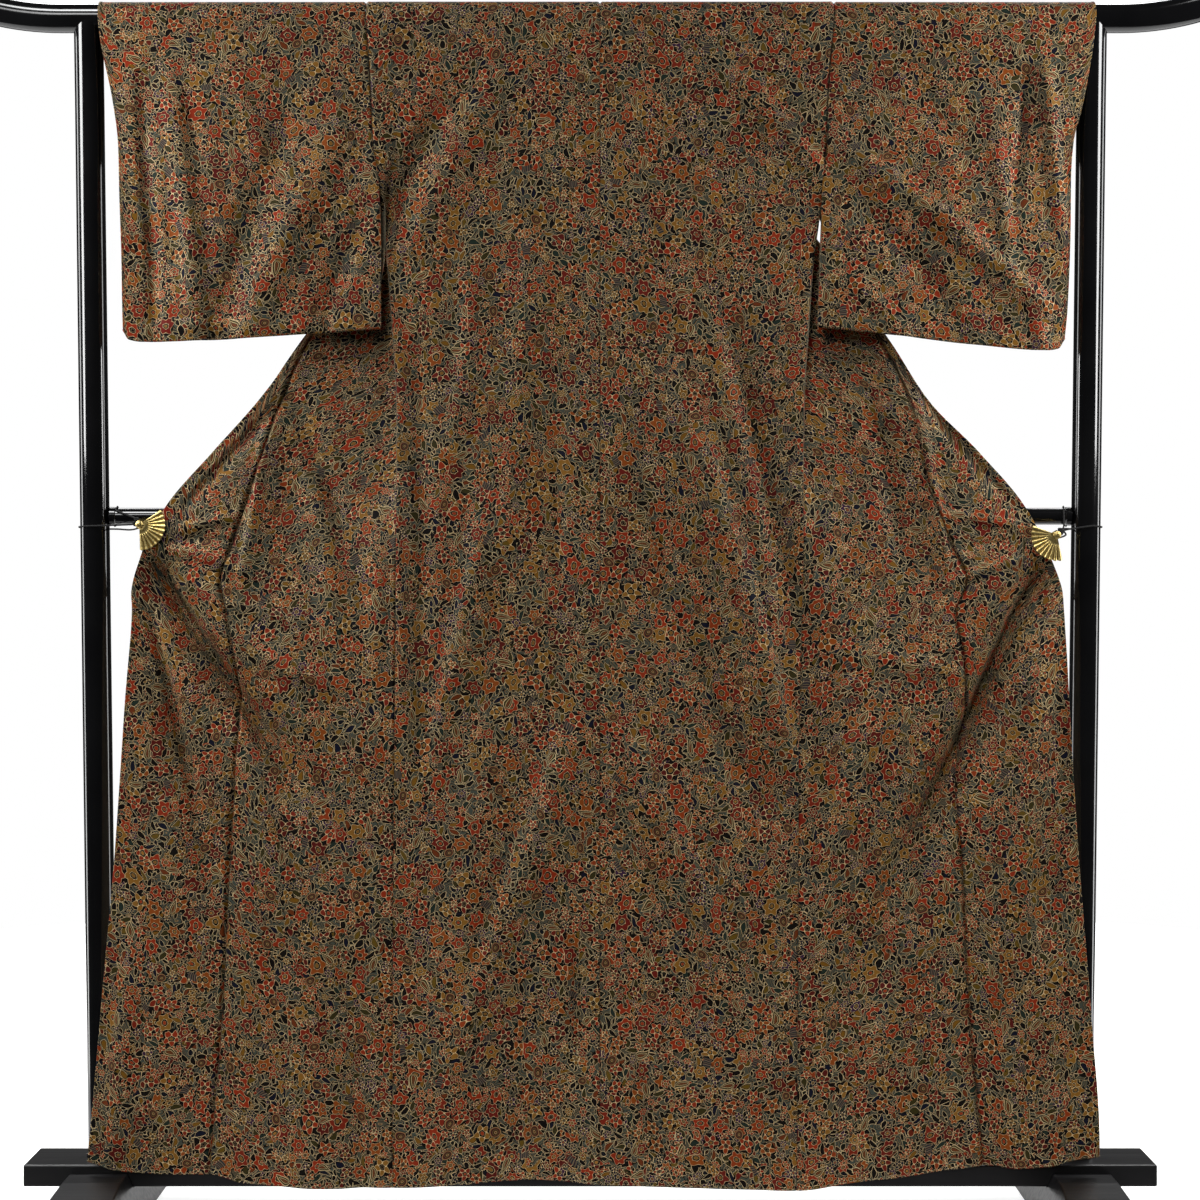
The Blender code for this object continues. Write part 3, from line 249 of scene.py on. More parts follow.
# Folds of the hanging body, in millimetres: reach to the left and right of the fold's run, then the
# points of the run, each an x, a z and the rise toward the viewer
FOLDS = (
    # Hollow at the left armhole
    (22, 40, ((-155, 1493, 0), (-199, 1424, -7.7), (-248, 1341, -10.9), (-276, 1282, -11.7),
        (-284, 1220, 0))),
    (53, 19, ((-114, 1506, 0), (-178, 1398, 6.9), (-227, 1297, 8.3), (-251, 1222, 0))),
    (36, 13, ((-163, 1251, 0), (-171, 1165, 5.7), (-186, 1041, 5.7), (-199, 953, 0))),
    (40, 17, ((-248, 1181, 0), (-243, 1052, -9.2), (-242, 845, -9.6), (-238, 677, -6.9), (-227, 535, 0))),
    (40, 17, ((-147, 940, 0), (-160, 845, 8.3), (-189, 716, 9), (-212, 607, 6.9), (-227, 519, 0))),
    # Right shoulder
    (15, 34, ((145, 1514, 0), (204, 1449, 7.3), (266, 1375, 9.6), (295, 1336, 0))),
    (38, 26, ((129, 1274, 0), (158, 1181, -7.8), (202, 1013, -10.9), (240, 819, -9.7), (261, 677, 0))),
    (22, 45, ((90, 1108, 0), (129, 1000, 8.9), (176, 845, 13.5), (217, 695, 13.5), (243, 597, 8.7),
        (261, 535, 0))),
    (26, 52, ((47, 961, 0), (88, 845, -8.7), (147, 695, -10.9), (199, 576, -9.2), (230, 483, 0))),
    (24, 29, ((26, 1191, 0), (52, 1077, 6.2), (83, 961, 6.5), (111, 860, 0))),
    (10, 22, ((72, 1512, 0), (67, 1452, 3.9), (61, 1393, 3.9), (58, 1338, 0))),
    # Spread of the back's lower half
    (46, 21, ((-39, 656, 0), (-65, 553, 9.7), (-116, 406, 12.4), (-171, 245, 11.7), (-199, 132, 0))),
    (21, 41, ((39, 641, 0), (70, 553, 10.2), (142, 382, 11.1), (207, 201, 9), (238, 101, 0))),
    (16, 16, ((-36, 367, 0), (-30, 297, -9), (-28, 245, -9), (-26, 191, 0))),
    (29, 24, ((-129, 209, 0), (-112, 150, -10.5), (-105, 95, -9), (-101, 59, 0))),
    (26, 22, ((47, 196, 0), (62, 134, -9), (72, 83, -8.7), (78, 57, 0))),
    (52, 52, ((-137, 664, 0), (-163, 457, 6.5), (-186, 199, 7.8), (-191, 44, 4.3))),
    (29, 29, ((178, 1181, 0), (191, 1284, -5.7), (207, 1375, -5.7), (217, 1444, 0))),
    (26, 15, ((-93, 1297, 0), (-101, 1142, 4.8), (-116, 961, 5.3), (-129, 793, 0))),
    (19, 26, ((-52, 1142, 0), (-57, 948, -5.7), (-52, 741, -5.3), (-44, 586, 0))),
    # From the left clip
    (40, 52, ((-587, 855, -11), (-540, 778, -20), (-478, 682, -20), (-406, 581, -13.5), (-341, 486, 0))),
    (26, 38, ((-599, 803, -3), (-576, 734, -11), (-543, 612, -14), (-509, 488, -9), (-491, 395, 0))),
    (17, 33, ((-517, 778, 0), (-452, 734, 5.2), (-372, 695, 4.4), (-315, 672, 0))),
    (26, 26, ((-478, 672, 0), (-452, 574, 10.3), (-419, 455, 9.7), (-382, 325, 0))),
    (9, 15, ((-522, 803, 0), (-463, 785, 2.2), (-372, 765, 2.2), (-274, 740, 0))),
    (22, 10, ((-434, 1033, 0), (-441, 961, 7), (-456, 871, 7.4), (-468, 801, 0))),
    (8, 13, ((-568, 882, 3.7), (-517, 893, 5.6), (-442, 909, 0))),
    (8, 13, ((-568, 863, 3.7), (-512, 850, 5.6), (-432, 816, 0))),
    (8, 9, ((-566, 872, -2.3), (-517, 872, -3.7), (-455, 864, 0))),
    (9, 21, ((-553, 897, 0), (-509, 949, -5.6), (-452, 1015, -6.1), (-382, 1093, 0))),
    (52, 52, ((-380, 431, 0), (-377, 302, 9.4), (-370, 160, 9.7), (-367, 44, 7))),
    (26, 26, ((-344, 341, 0), (-320, 225, -7.9), (-310, 134, -8.4), (-305, 44, -4.7))),
    (34, 19, ((-599, 367, 0), (-615, 251, 9.4), (-623, 147, 10.3), (-628, 57, 6.1))),
    (22, 26, ((-437, 1116, 0), (-388, 1026, -6.1), (-349, 940, -7), (-323, 845, 0))),
    (15, 21, ((-388, 961, 0), (-359, 897, 5.6), (-349, 819, 5.6), (-349, 754, 0))),
    (19, 22, ((-295, 922, 0), (-292, 845, 5.6), (-289, 767, 5.6), (-289, 677, 0))),
    # From the right clip
    (52, 40, ((581, 842, -11), (535, 765, -20.5), (468, 610, -23.5), (398, 468, -20), (362, 341, -13),
        (349, 251, 0))),
    (31, 19, ((574, 752, 0), (563, 654, 9.4), (537, 483, 11.4), (514, 341, 9.4), (496, 238, 0))),
    (14, 29, ((266, 736, 0), (336, 726, 2.6), (426, 710, 3.6), (496, 690, 0))),
    (10, 22, ((408, 1072, 0), (421, 1000, 7), (442, 884, 7.4), (453, 801, 0))),
    (13, 8, ((561, 887, 3.7), (504, 897, 5.6), (429, 909, 0))),
    (13, 8, ((561, 855, 3.7), (504, 836, 5.6), (421, 803, 0))),
    (9, 8, ((558, 871, -2.3), (509, 867, -3.7), (444, 858, 0))),
    (21, 9, ((548, 899, 0), (499, 961, -5.6), (439, 1033, -6.1), (370, 1121, 0))),
    (29, 26, ((599, 716, 0), (594, 586, -7.9), (576, 431, -8.9), (568, 328, 0))),
    (34, 26, ((367, 677, 0), (331, 586, 9.4), (307, 457, 10.3), (300, 328, 0))),
    (52, 52, ((395, 354, 0), (403, 238, -10.3), (416, 134, -9.7), (421, 44, -7))),
    (31, 34, ((561, 380, 0), (576, 263, 9.8), (587, 160, 10.3), (592, 70, 6.6))),
    (26, 22, ((336, 1077, 0), (367, 987, -6.1), (388, 897, -7), (398, 806, 0))),
    (22, 22, ((305, 961, 0), (300, 871, 5.6), (297, 780, 5.6), (300, 677, 0))),
    # Sharp creases at the bottom of the deepest folds
    (15, 12, ((-581, 845, -6), (-548, 788, -17), (-499, 713, -20), (-450, 643, -15), (-406, 570, -6),
        (-380, 520, 0))),
    (12, 16, ((574, 829, -6), (543, 778, -17), (504, 690, -21), (463, 602, -19), (413, 501, -11),
        (385, 431, 0))),
    (12, 10, ((-587, 793, 0), (-571, 729, -8), (-553, 656, -11), (-530, 561, -6), (-515, 500, 0))),
    (12, 10, ((-264, 1413, 0), (-272, 1341, -9), (-274, 1292, -10), (-278, 1248, 0))),
)

# Folds of the sleeves, which hang free of the body
SLEEVE_FOLDS = (
    # Left
    (14, 31, ((-563, 1524, 0), (-548, 1426, 8), (-530, 1284, 8.8), (-521, 1181, 6.5), (-517, 1114, 3.6))),
    (40, 28, ((-331, 1439, 0), (-362, 1359, 7.7), (-411, 1258, 9), (-444, 1181, 7.5), (-460, 1114, 3.6))),
    (34, 31, ((-382, 1465, 0), (-424, 1364, -5.7), (-468, 1245, -6.5), (-494, 1134, -2.9))),
    (17, 14, ((-594, 1491, 0), (-592, 1400, -5.4), (-581, 1258, -6.1), (-576, 1129, -2.5))),
    (26, 22, ((-302, 1323, 0), (-320, 1258, -5.4), (-349, 1194, -5.7), (-364, 1116, -2.5))),
    (17, 22, ((-481, 1517, 0), (-460, 1444, 4), (-437, 1375, 3.6), (-419, 1315, 0))),
    (10, 17, ((-607, 1142, 0), (-517, 1152, 2.9), (-413, 1147, 2.5), (-336, 1158, 0))),
    # Right
    (17, 36, ((287, 1408, 0), (362, 1354, 8), (465, 1274, 9.3), (553, 1196, 8.1), (597, 1155, 0))),
    (22, 38, ((292, 1351, 0), (362, 1282, -5.7), (437, 1196, -6.5), (470, 1119, -2.9))),
    (17, 11, ((571, 1537, 0), (580, 1452, 8), (590, 1336, 6.1), (597, 1245, 0))),
    (14, 11, ((558, 1512, 0), (549, 1429, -7.6), (539, 1336, -5.7), (530, 1258, 0))),
    (17, 14, ((506, 1439, 0), (517, 1351, 6.5), (526, 1258, 5.1), (530, 1181, 0))),
    (22, 29, ((388, 1517, 0), (421, 1452, -4.4), (463, 1387, -4.4), (491, 1336, 0))),
    (14, 21, ((313, 1230, 0), (357, 1181, 5.4), (393, 1142, 4.7), (413, 1114, 1.8))),
    (12, 15, ((556, 1168, 0), (568, 1142, 4.4), (576, 1114, 2.5))),
)

# Fan clips on the front edges: pivot x, pivot z, direction of the fan's middle in degrees
CLIP_PIVOT = {LEFT: (-0.5960, 0.8908, -27.0), RIGHT: (0.5912, 0.8772, -140.0)}
FAN_RADIUS = 0.0338
FAN_ROOT = 0.0045
FAN_OPENING = 124.0
FAN_RIBS = 11
FAN_PLEAT = 0.0012
FAN_STEPS = 22
RIB_STEPS = 12
RIM_SCALLOP = 0.045
FAN_BACK = 0.9
HUB_RADIUS = 0.0118
HUB_SHOULDER = 1.25
FAN_SHARP_EDGE = math.radians(50)
PIN_RADIUS = 0.0026
CORD_RADIUS = 0.0012
FIT_GAP = 0.0003

# Raised rings of the fan, along its rim and on its hub: share of the radius, width, height in pleats
RIM_ROLL = (0.97, 0.0012, 0.25)
HUB_FACET = (0.6, 0.0030, 0.5)

# Outline of the knob: share of its depth from the back, share of its radius
KNOB_OUTLINE = (
    (0.0, 0.94), (0.06, 1.0), (0.22, 1.0), (0.32, 0.96), (0.42, 0.84), (0.62, 0.80), (0.82, 0.66),
    (0.95, 0.44), (1.0, 0.22), (0.93, 0.16), (0.72, 0.13),
)

# Straight parts that a fold's run is measured by
RUN_STEPS = 24

# Waves of the soft unevenness of the hanging cloth: waves a metre across and along, and their share
DRAPE_WAVES = (
    (5.2, 0.8, 0.30), (8.3, -1.1, 0.22), (12.7, 1.9, 0.16), (3.1, 2.7, 0.26), (17.9, -2.6, 0.09),
    (6.4, -4.3, 0.14), (23.0, 3.7, 0.06), (10.1, 6.2, 0.08),
)
DRAPE_RISE = 0.0036

# A seam lies in a narrow groove, with uneven puckers beside it: depth and width of one side of the groove.
# A pressed fold along the okumi seam is deeper, and slopes more gently on the side away from the light
PLAIN_GROOVE = (0.0022, 0.0013)
FOLD_SLOPE = (0.0060, 0.0034)
FOLD_BACK = (0.0060, 0.0016)
PUCKER_RISE = 0.00042
PUCKER_REACH = 0.010

# Puckers along a seam, in radians a metre: two sets of waves, how the first drifts, and how all swell
PUCKER_WAVES = (410.0, 733.0)
PUCKER_DRIFT = 37.0
PUCKER_SWELL = 23.0

# The way the two panels at an overlap seam sink together, so that no gap opens between them
TO_VIEWER = np.array((0.0, -1.0, 0.0))

# Lines on the printed face along the edges of each panel, for its stitches
EDGE_LINES = {}

# Where on the printed cloth each panel is cut, in metres: left, right
PRINT_START = {
    "back": ((0.0, 0.0), (0.71, 0.13)), "front": ((0.27, 0.41), (1.02, 0.57)),
    "okumi": ((0.52, 0.22), (1.31, 0.83)), "sleeve": ((0.11, 0.05), (0.93, 0.31)),
    "collar": ((0.40, 0.66),),
}

# Running stitches, in metres: from one to the next, length, thread radius, and how far above the hem's edge
SEAM_STITCH = {"Pitch": 0.0042, "Stitch Length": 0.0026, "Thread Radius": 0.00028}
HEM_STITCH = {"Pitch": 0.0062, "Stitch Length": 0.0040, "Thread Radius": 0.00034}
HEM_STITCHES = 0.0011
STITCH_TILT = 0.10
STITCH_SEED = 7
STITCH_SIDES = 6
STITCH_RINGS = 4

# Cords of the clips: strands, the length of one turn of their twist, and the step along them
CORD_STRANDS = 3
CORD_TWIST = {"Cord Radius": CORD_RADIUS, "Turn Length": 0.0052, "Step": 0.0007}
KNOT_SIZE = 0.00085
KNOT_PLACE = {"cord": 0.30, "tie": 0.45}
KNOT_STEPS = 48
PATH_STEPS = 10

# Radius of one strand and distance of its axis, as shares of the cord's radius: three that touch
STRAND_RADIUS = 0.464
STRAND_AXIS = 0.536
STRAND_SIDES = 8

# Routes of the cords: how far behind the fan, below the middle rail and apart they run. Then the turns
# round the post and the rail: first angle, sweep, how far they move along it, steps. TIE_X is where the
# tie goes round the rail.
CORD_BEHIND = 0.0012
CORD_BELOW = 0.0022
CORD_PARTING = 0.0016
POST_TURN = (-78, 213, 0.0034, 8)
TIE_TURN = (145, -240, 0.0045, 7)
TIE_X = 0.616

# Rounding of the cloth's free edges, as shares of half its thickness
EDGE_ROUND = 0.8
EDGE_THIN = 0.5

# Cuff: its opening's lowest point, and where under it the far wall closes on the near one, as a share
# of the sleeve's length and a fade of height. CUFF_CALM is where the folds end in the opening: from a
# share of the length, between two heights. SLEEVE_DRAPE parts the soft waves from those of the body.
CUFF_BOTTOM = 1.345
CUFF_CLOSE = 0.985
CUFF_FADE = 0.03
CUFF_CALM = (0.93, 1.39, 1.45)
SLEEVE_DRAPE = 0.31

# Light from all round, as a share of the white backdrop
AMBIENT = 0.05

# Soft lights, aimed at the cloth: azimuth from the viewer, elevation, distance, width, height, watts and
# the degrees that the beam spreads over
LIGHTS_AIM = (0.0, 0.0, 0.60)
LIGHTS = (
    ("top", -14.0, 56.0, 12.0, 5.0, 4.4, 27.5, 21.0),
    ("front", -16.0, 26.0, 12.0, 5.0, 4.4, 17.4, 21.0),
    ("side left", -76.0, 30.0, 1.5, 0.24, 0.8, 13.0, 180.0),
    ("side right", 76.0, 30.0, 1.5, 0.24, 0.8, 12.0, 180.0),
    ("rim left", -102.0, 4.0, 2.8, 0.5, 2.6, 30.0, 180.0),
    ("rim right", 102.0, 4.0, 2.8, 0.5, 2.6, 30.0, 180.0),
    ("back left", 145.0, 45.0, 5.0, 1.8, 1.4, 120.0, 180.0),
    ("back right", -145.0, 45.0, 5.0, 1.8, 1.4, 120.0, 180.0),
)

# White floor: middle, half size and its own glow, which keeps it as pale as the backdrop
FLOOR_MIDDLE = (0.0, 1.6, 0.0)
FLOOR_HALF = 2.1
FLOOR_SIDES = 96
FLOOR_GLOW = 0.6

# Where the floor's glow and its tone rise toward the back, and what they start from
GLOW_RISE = (-0.2, 0.1, FLOOR_GLOW / 5, FLOOR_GLOW)
TONE_RISE = (-0.1, 0.3, 0.0, 1.0)


def srgb(text):
    """Linear RGBA of an sRGB hex colour."""
    channels = [int(text[i:i + 2], 16) / 255 for i in (1, 3, 5)]
    return (*[c / 12.92 if c <= 0.04045 else ((c + 0.055) / 1.055) ** 2.4 for c in channels], 1.0)


def fill(tree, made, *inputs, **settings):
    """Fill a node's sockets, in order or by name, with a value or with what another node makes."""
    sockets = [socket for socket in made.inputs if socket.enabled]
    named = {socket.name.lower().replace(" ", "_"): socket for socket in reversed(sockets)}
    filled = list(zip(sockets, inputs)) + [(named[name], value) for name, value in settings.items()]
    for socket, value in filled:
        if isinstance(value, bpy.types.Node):
            value = next(output for output in value.outputs if output.enabled)
        if isinstance(value, bpy.types.NodeSocket):
            tree.links.new(value, socket)
        elif value is not None:
            socket.default_value = value
    return made


def add(tree, kind, *inputs, stops=(), interpolation="LINEAR", **settings):
    """A node, its inputs filled in order. A setting fills the socket of that name, or is the node's own."""
    made = tree.nodes.new(kind if "Node" in kind else "ShaderNode" + kind)
    for place, colour in stops[2:]:
        made.color_ramp.elements.new(place)
    for k, (place, colour) in enumerate(stops):
        made.color_ramp.interpolation = interpolation
        made.color_ramp.elements[k].position = place
        made.color_ramp.elements[k].color = colour
    socket_names = {socket.name.lower().replace(" ", "_") for socket in made.inputs}
    for name in sorted(set(settings) - socket_names):
        setattr(made, name, settings.pop(name))
    return fill(tree, made, *inputs, **settings)


def new_material(name):
    """A material, the function that adds a node to it, and the one that fills its surface shader."""
    made = bpy.data.materials.new(name)
    made.use_nodes = True
    tree = made.node_tree
    surface = functools.partial(fill, tree, tree.nodes["Principled BSDF"])
    return made, functools.partial(add, tree), surface


def curve_value(table, at, column=1):
    """Smooth values of a table's column, with no overshoot between its rows."""
    rows = np.array(sorted(table))
    places, values = rows[:, 0], rows[:, column]
    slopes = np.diff(values) / np.diff(places)
    before, after = slopes[:-1], slopes[1:]
    same_way = before * after > 0
    harmonic = 2 * before * after / np.where(same_way, before + after, 1.0)
    tangents = np.concatenate(([slopes[0]], np.where(same_way, harmonic, 0.0), [slopes[-1]]))
    at = np.clip(at, places[0], places[-1])
    k = np.clip(np.searchsorted(places, at) - 1, 0, len(slopes) - 1)
    step = places[k + 1] - places[k]
    t = (at - places[k]) / step
    return ((2 * t ** 3 - 3 * t ** 2 + 1) * values[k] + (t ** 3 - 2 * t ** 2 + t) * step * tangents[k]
            + (3 * t ** 2 - 2 * t ** 3) * values[k + 1] + (t ** 3 - t ** 2) * step * tangents[k + 1])


def side_value(table, at, side, column=1):
    """Values for the left or the right side, whose columns stand side by side."""
    return curve_value(table, at, column + (side == RIGHT))


def ramp(value, start, end):
    """0 before start and 1 past end, with a soft step between."""
    t = np.clip((value - start) / (end - start), 0.0, 1.0)
    return t * t * (3 - 2 * t)


def relief(folds, x, z):
    """Rise of the folds toward the viewer. Each follows its run and is steeper on its narrow side."""
    x, z = np.broadcast_arrays(x, z)
    total = np.zeros(x.shape)
    for left_reach, right_reach, run in folds:
        left_reach, right_reach = left_reach / MM_PER_M, right_reach / MM_PER_M
        run = np.array(run) / MM_PER_M
        lengths = np.append(0.0, np.cumsum(np.hypot(*np.diff(run[:, :2], axis=0).T)))
        table = np.column_stack((lengths, run)).tolist()
        at = np.linspace(0.0, lengths[-1], RUN_STEPS + 1)
        run_x, run_z, rises = (curve_value(table, at, column) for column in (1, 2, 3))
        reach = max(left_reach, right_reach)
        near = (x > run_x.min() - reach) & (x < run_x.max() + reach)
        near &= (z > run_z.min() - reach) & (z < run_z.max() + reach)
        off_x, off_z = x[near, None] - run_x[:-1], z[near, None] - run_z[:-1]
        step_x, step_z = np.diff(run_x), np.diff(run_z)
        share = np.clip((off_x * step_x + off_z * step_z) / (step_x ** 2 + step_z ** 2), 0.0, 1.0)
        off_x, off_z = off_x - share * step_x, off_z - share * step_z
        gaps = np.hypot(off_x, off_z)
        nearest = np.argmin(gaps, axis=1)[:, None]
        gap, off_x, off_z, share = (
            np.take_along_axis(values, nearest, 1) for values in (gaps, off_x, off_z, share))
        on_left = step_x[nearest] * off_z > step_z[nearest] * off_x
        reach = np.where(on_left, left_reach, right_reach)
        rise = rises[nearest] + (rises[nearest + 1] - rises[nearest]) * share
        bell = 0.5 * (1 + np.cos(math.pi * np.minimum(gap / reach, 1.0)))
        total[near] += (rise * bell)[:, 0]
    return total


def drape(x, z):
    """Soft unevenness of the hanging cloth, long down its length and short across it."""
    total = np.zeros(np.broadcast(x, z).shape)
    for k, (across, along, share) in enumerate(DRAPE_WAVES):
        total = total + share * np.sin(2 * math.pi * (across * x + along * z) + 1.7 * k * k)
    return DRAPE_RISE * total


def ground(x, z):
    """Y of the near face of the body's cloth. The folds fade out at the rail and in the clips."""
    fade = np.clip((FOLD_END_Z - z) / FOLD_FADE, 0.0, 1.0)
    for clip_x, clip_z, _ in CLIP_PIVOT.values():
        from_clip = np.hypot(x - clip_x, z - clip_z)
        fade = fade * np.clip((from_clip - FAN_RADIUS) / FAN_RADIUS, 0.0, 1.0)
    return curve_value(HANG, z) - fade * (relief(FOLDS, x, z) + drape(x, z))


def points_of(x, y, z):
    """Points from the garment's own coordinates."""
    x, y, z = np.broadcast_arrays(x, y, z)
    return np.stack((x + KIMONO_X, y, z), axis=-1)


def over_rail(x, angle, lift):
    """Points round the rail: angle 0 is its near side, a quarter turn its top."""
    reach = WRAP_RADIUS + lift
    return points_of(x, -reach * np.cos(angle), RAIL_Z + reach * np.sin(angle))


def far_point(x, drop, lift):
    """Points on the far side, their drop measured along the cloth from the neck line."""
    arc = (math.pi - NECK_ANGLE) * WRAP_RADIUS
    on_rail = over_rail(x, NECK_ANGLE + np.minimum(drop, arc) / WRAP_RADIUS, lift)
    hanging = points_of(x, WRAP_RADIUS + lift, RAIL_Z - (drop - arc))
    return np.where((drop < arc)[..., None], on_rail, hanging)


def neck_drop(distance):
    """How far down the far side the back panel reaches at a distance from the centre seam."""
    reach = np.clip((distance - NECK_STRAIGHT) / NECK_BEND_RADIUS, 0.0, NECK_TURN)
    return np.minimum(NECK_BEND_RADIUS * (1 - np.sqrt(1 - reach ** 2)), SHOULDER_DROP)


def close_to_edges(steps):
    """Shares from 0 to 1 whose steps shorten toward both ends."""
    return 0.5 - 0.5 * np.cos(np.linspace(0.0, math.pi, steps + 1))


def out_of_face(points, facing, ring=False):
    """Normals of a grid of points, out of the printed face of the cloth."""
    up = np.gradient(points, axis=0)
    if ring:
        across = np.roll(points, -1, axis=1) - np.roll(points, 1, axis=1)
    else:
        across = np.gradient(points, axis=1)
    normals = facing * np.cross(across, up)
    return normals / np.linalg.norm(normals, axis=-1, keepdims=True)


def lengths_along(points, axis):
    """Length along a grid's rows or columns from their first point."""
    steps = np.linalg.norm(np.diff(points, axis=axis), axis=-1)
    first = np.zeros_like(np.take(steps, [0], axis=axis))
    return np.concatenate((first, np.cumsum(steps, axis=axis)), axis)


def seam_relief(distance, along, seed, depth, width):
    """Height of the cloth beside a seam, which lies in a groove with uneven puckers along it."""
    groove = -depth * np.exp(-(distance / width) ** 2)
    drift = 2.3 * np.sin(PUCKER_DRIFT * along + seed)
    waves = np.sin(PUCKER_WAVES[0] * along + drift) + 0.7 * np.sin(PUCKER_WAVES[1] * along + 5 * seed)
    strength = 0.55 + 0.45 * np.sin(PUCKER_SWELL * along + 3 * seed)
    return groove + PUCKER_RISE * strength * waves * np.exp(-distance / PUCKER_REACH)


def round_border(grid, extra, axis, ends=(0, -1)):
    """The grid with one more line past its ends, by an extra length past the last points."""
    lines = [grid]
    for end in ends:
        last = np.take(grid, [end], axis=axis)
        inward = np.take(grid, [1 if end == 0 else -2], axis=axis)
        outward = last - inward
        outward = outward / np.maximum(np.linalg.norm(outward, axis=-1, keepdims=True), 1e-9)
        added = last + outward * np.take(extra, [end], axis=axis)[..., None]
        lines = [added] + lines if end == 0 else lines + [added]
    return np.concatenate(lines, axis=axis)


def mesh_piece(name, points, faces, uv=None, reverse=None):
    """A smooth mesh object from points and faces, with UV corners and marks for the second material."""
    mesh = bpy.data.meshes.new(name)
    mesh.from_pydata(points.reshape(-1, 3).tolist(), [], faces.tolist())
    if uv is not None:
        layer = mesh.uv_layers.new(name="cloth")
        layer.data.foreach_set("uv", uv.astype(np.float32).ravel())
    if reverse is not None:
        mesh.polygons.foreach_set("material_index", reverse.astype(np.int32))
    mesh.shade_smooth()
    made = bpy.data.objects.new(name, mesh)
    bpy.context.scene.collection.objects.link(made)
    return made


def shell_faces(grids, ring=False):
    """Quads between two grids of numbers: the outer face, the inner face, then the edges round them."""
    out, inn = grids
    strips = [(out[:-1, :-1], out[:-1, 1:], out[1:, 1:], out[1:, :-1]),
              (inn[1:, :-1], inn[1:, 1:], inn[:-1, 1:], inn[:-1, :-1]),
              (out[:1, :-1], inn[:1, :-1], inn[:1, 1:], out[:1, 1:]),
              (out[-1:, :-1], out[-1:, 1:], inn[-1:, 1:], inn[-1:, :-1])]
    if not ring:
        strips += [(out[:-1, :1], out[1:, :1], inn[1:, :1], inn[:-1, :1]),
                   (out[:-1, -1:], inn[:-1, -1:], inn[1:, -1:], out[1:, -1:])]
    return np.concatenate([np.stack([corner.ravel() for corner in strip], axis=1) for strip in strips])


def cloth_shell(name, middle, half, uv, facing, ring=False):
    """A closed shell about a grid of points, half a thickness each way, its free edges rounded."""
    border = EDGE_ROUND * half
    normals = out_of_face(middle, facing, ring)
    middle = round_border(middle, border, 0)
    uv = round_border(uv, border, 0)
    normals = np.pad(normals, ((1, 1), (0, 0), (0, 0)), mode="edge")
    half = np.pad(half, ((1, 1), (0, 0)), mode="edge")
    half[[0, -1]] *= EDGE_THIN
    if not ring:
        border = np.pad(border, ((1, 1), (0, 0)), mode="edge")
        middle = round_border(middle, border, 1)
        uv = round_border(uv, border, 1)
        normals = np.pad(normals, ((0, 0), (1, 1), (0, 0)), mode="edge")
        half = np.pad(half, ((0, 0), (1, 1)), mode="edge")
        half[:, [0, -1]] *= EDGE_THIN
    points = np.stack((middle + normals * half[..., None], middle - normals * half[..., None]))
    ids = np.arange(half.size * 2).reshape(2, *half.shape)
    places = ids % half.size
    corner_uv = uv.reshape(-1, 2)
    if ring:
        ids = np.concatenate((ids, ids[:, :, :1]), axis=2)
        seam = uv[:, 0].copy()
        seam[:, 1] += lengths_along(np.concatenate((middle, middle[:, :1]), axis=1), 1)[:, -1]
        seam_places = half.size + np.tile(np.arange(len(half))[:, None], (2, 1, 1))
        places = np.concatenate((places, seam_places), axis=2)
        corner_uv = np.concatenate((corner_uv, seam))
    order = slice(None, None, 1 if facing > 0 else -1)
    faces = shell_faces(ids, ring)[:, order]
    corners = shell_faces(places, ring)[:, order]
    one_face = (ids.shape[1] - 1) * (ids.shape[2] - 1)
    number = np.arange(len(faces))
    reverse = (number >= one_face) & (number < 2 * one_face)
    return mesh_piece(name, points, faces, corner_uv[corners.ravel()], reverse)


def cloth_piece(kind, side, middle, facing, seams, turned=(), ring=False, half=None):
    """One panel of the garment. Its edges are called near, far, bottom and top, in the grid's order."""
    node = kind if side is None else kind + "_" + SIDE_NAMES[side]
    start = PRINT_START[kind][side == RIGHT]
    across, along = lengths_along(middle, 1), lengths_along(middle, 0)
    distance = {"near": across, "far": across[:, -1:] - across, "bottom": along, "top": along[-1:] - along}
    normals = out_of_face(middle, facing, ring)
    surface = middle
    for seed, (edge, groove) in enumerate(seams.items()):
        run = across if edge in ("bottom", "top") else along
        rise = seam_relief(distance[edge], run, seed + start[0], *groove)
        toward = TO_VIEWER if groove in (FOLD_SLOPE, FOLD_BACK) else normals
        surface = surface + toward * rise[..., None]
    if half is None:
        to_edge = np.minimum.reduce([distance[edge] for edge in turned])
        half = (SILK + (TURNED_EDGE - SILK) * ramp(-to_edge, -EDGE_TURN, EDGE_STEP - EDGE_TURN)) / 2
    face = surface + normals * half[..., None]
    EDGE_LINES[node] = {"near": face[:, 0], "far": face[:, -1],
                        "hem": face[0] + (face[1] - face[0]) * HEM_STITCHES / ROW_STEP}
    uv = np.stack((along, across) if ring else (across, along), axis=-1) + np.array(start)
    piece = cloth_shell("silk_" + node, surface, half, uv, facing, ring)
    piece.data.materials.append(PRINTED_SILK)
    piece.data.materials.append(SILK_REVERSE)
    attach(piece, "root")
    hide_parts(node)


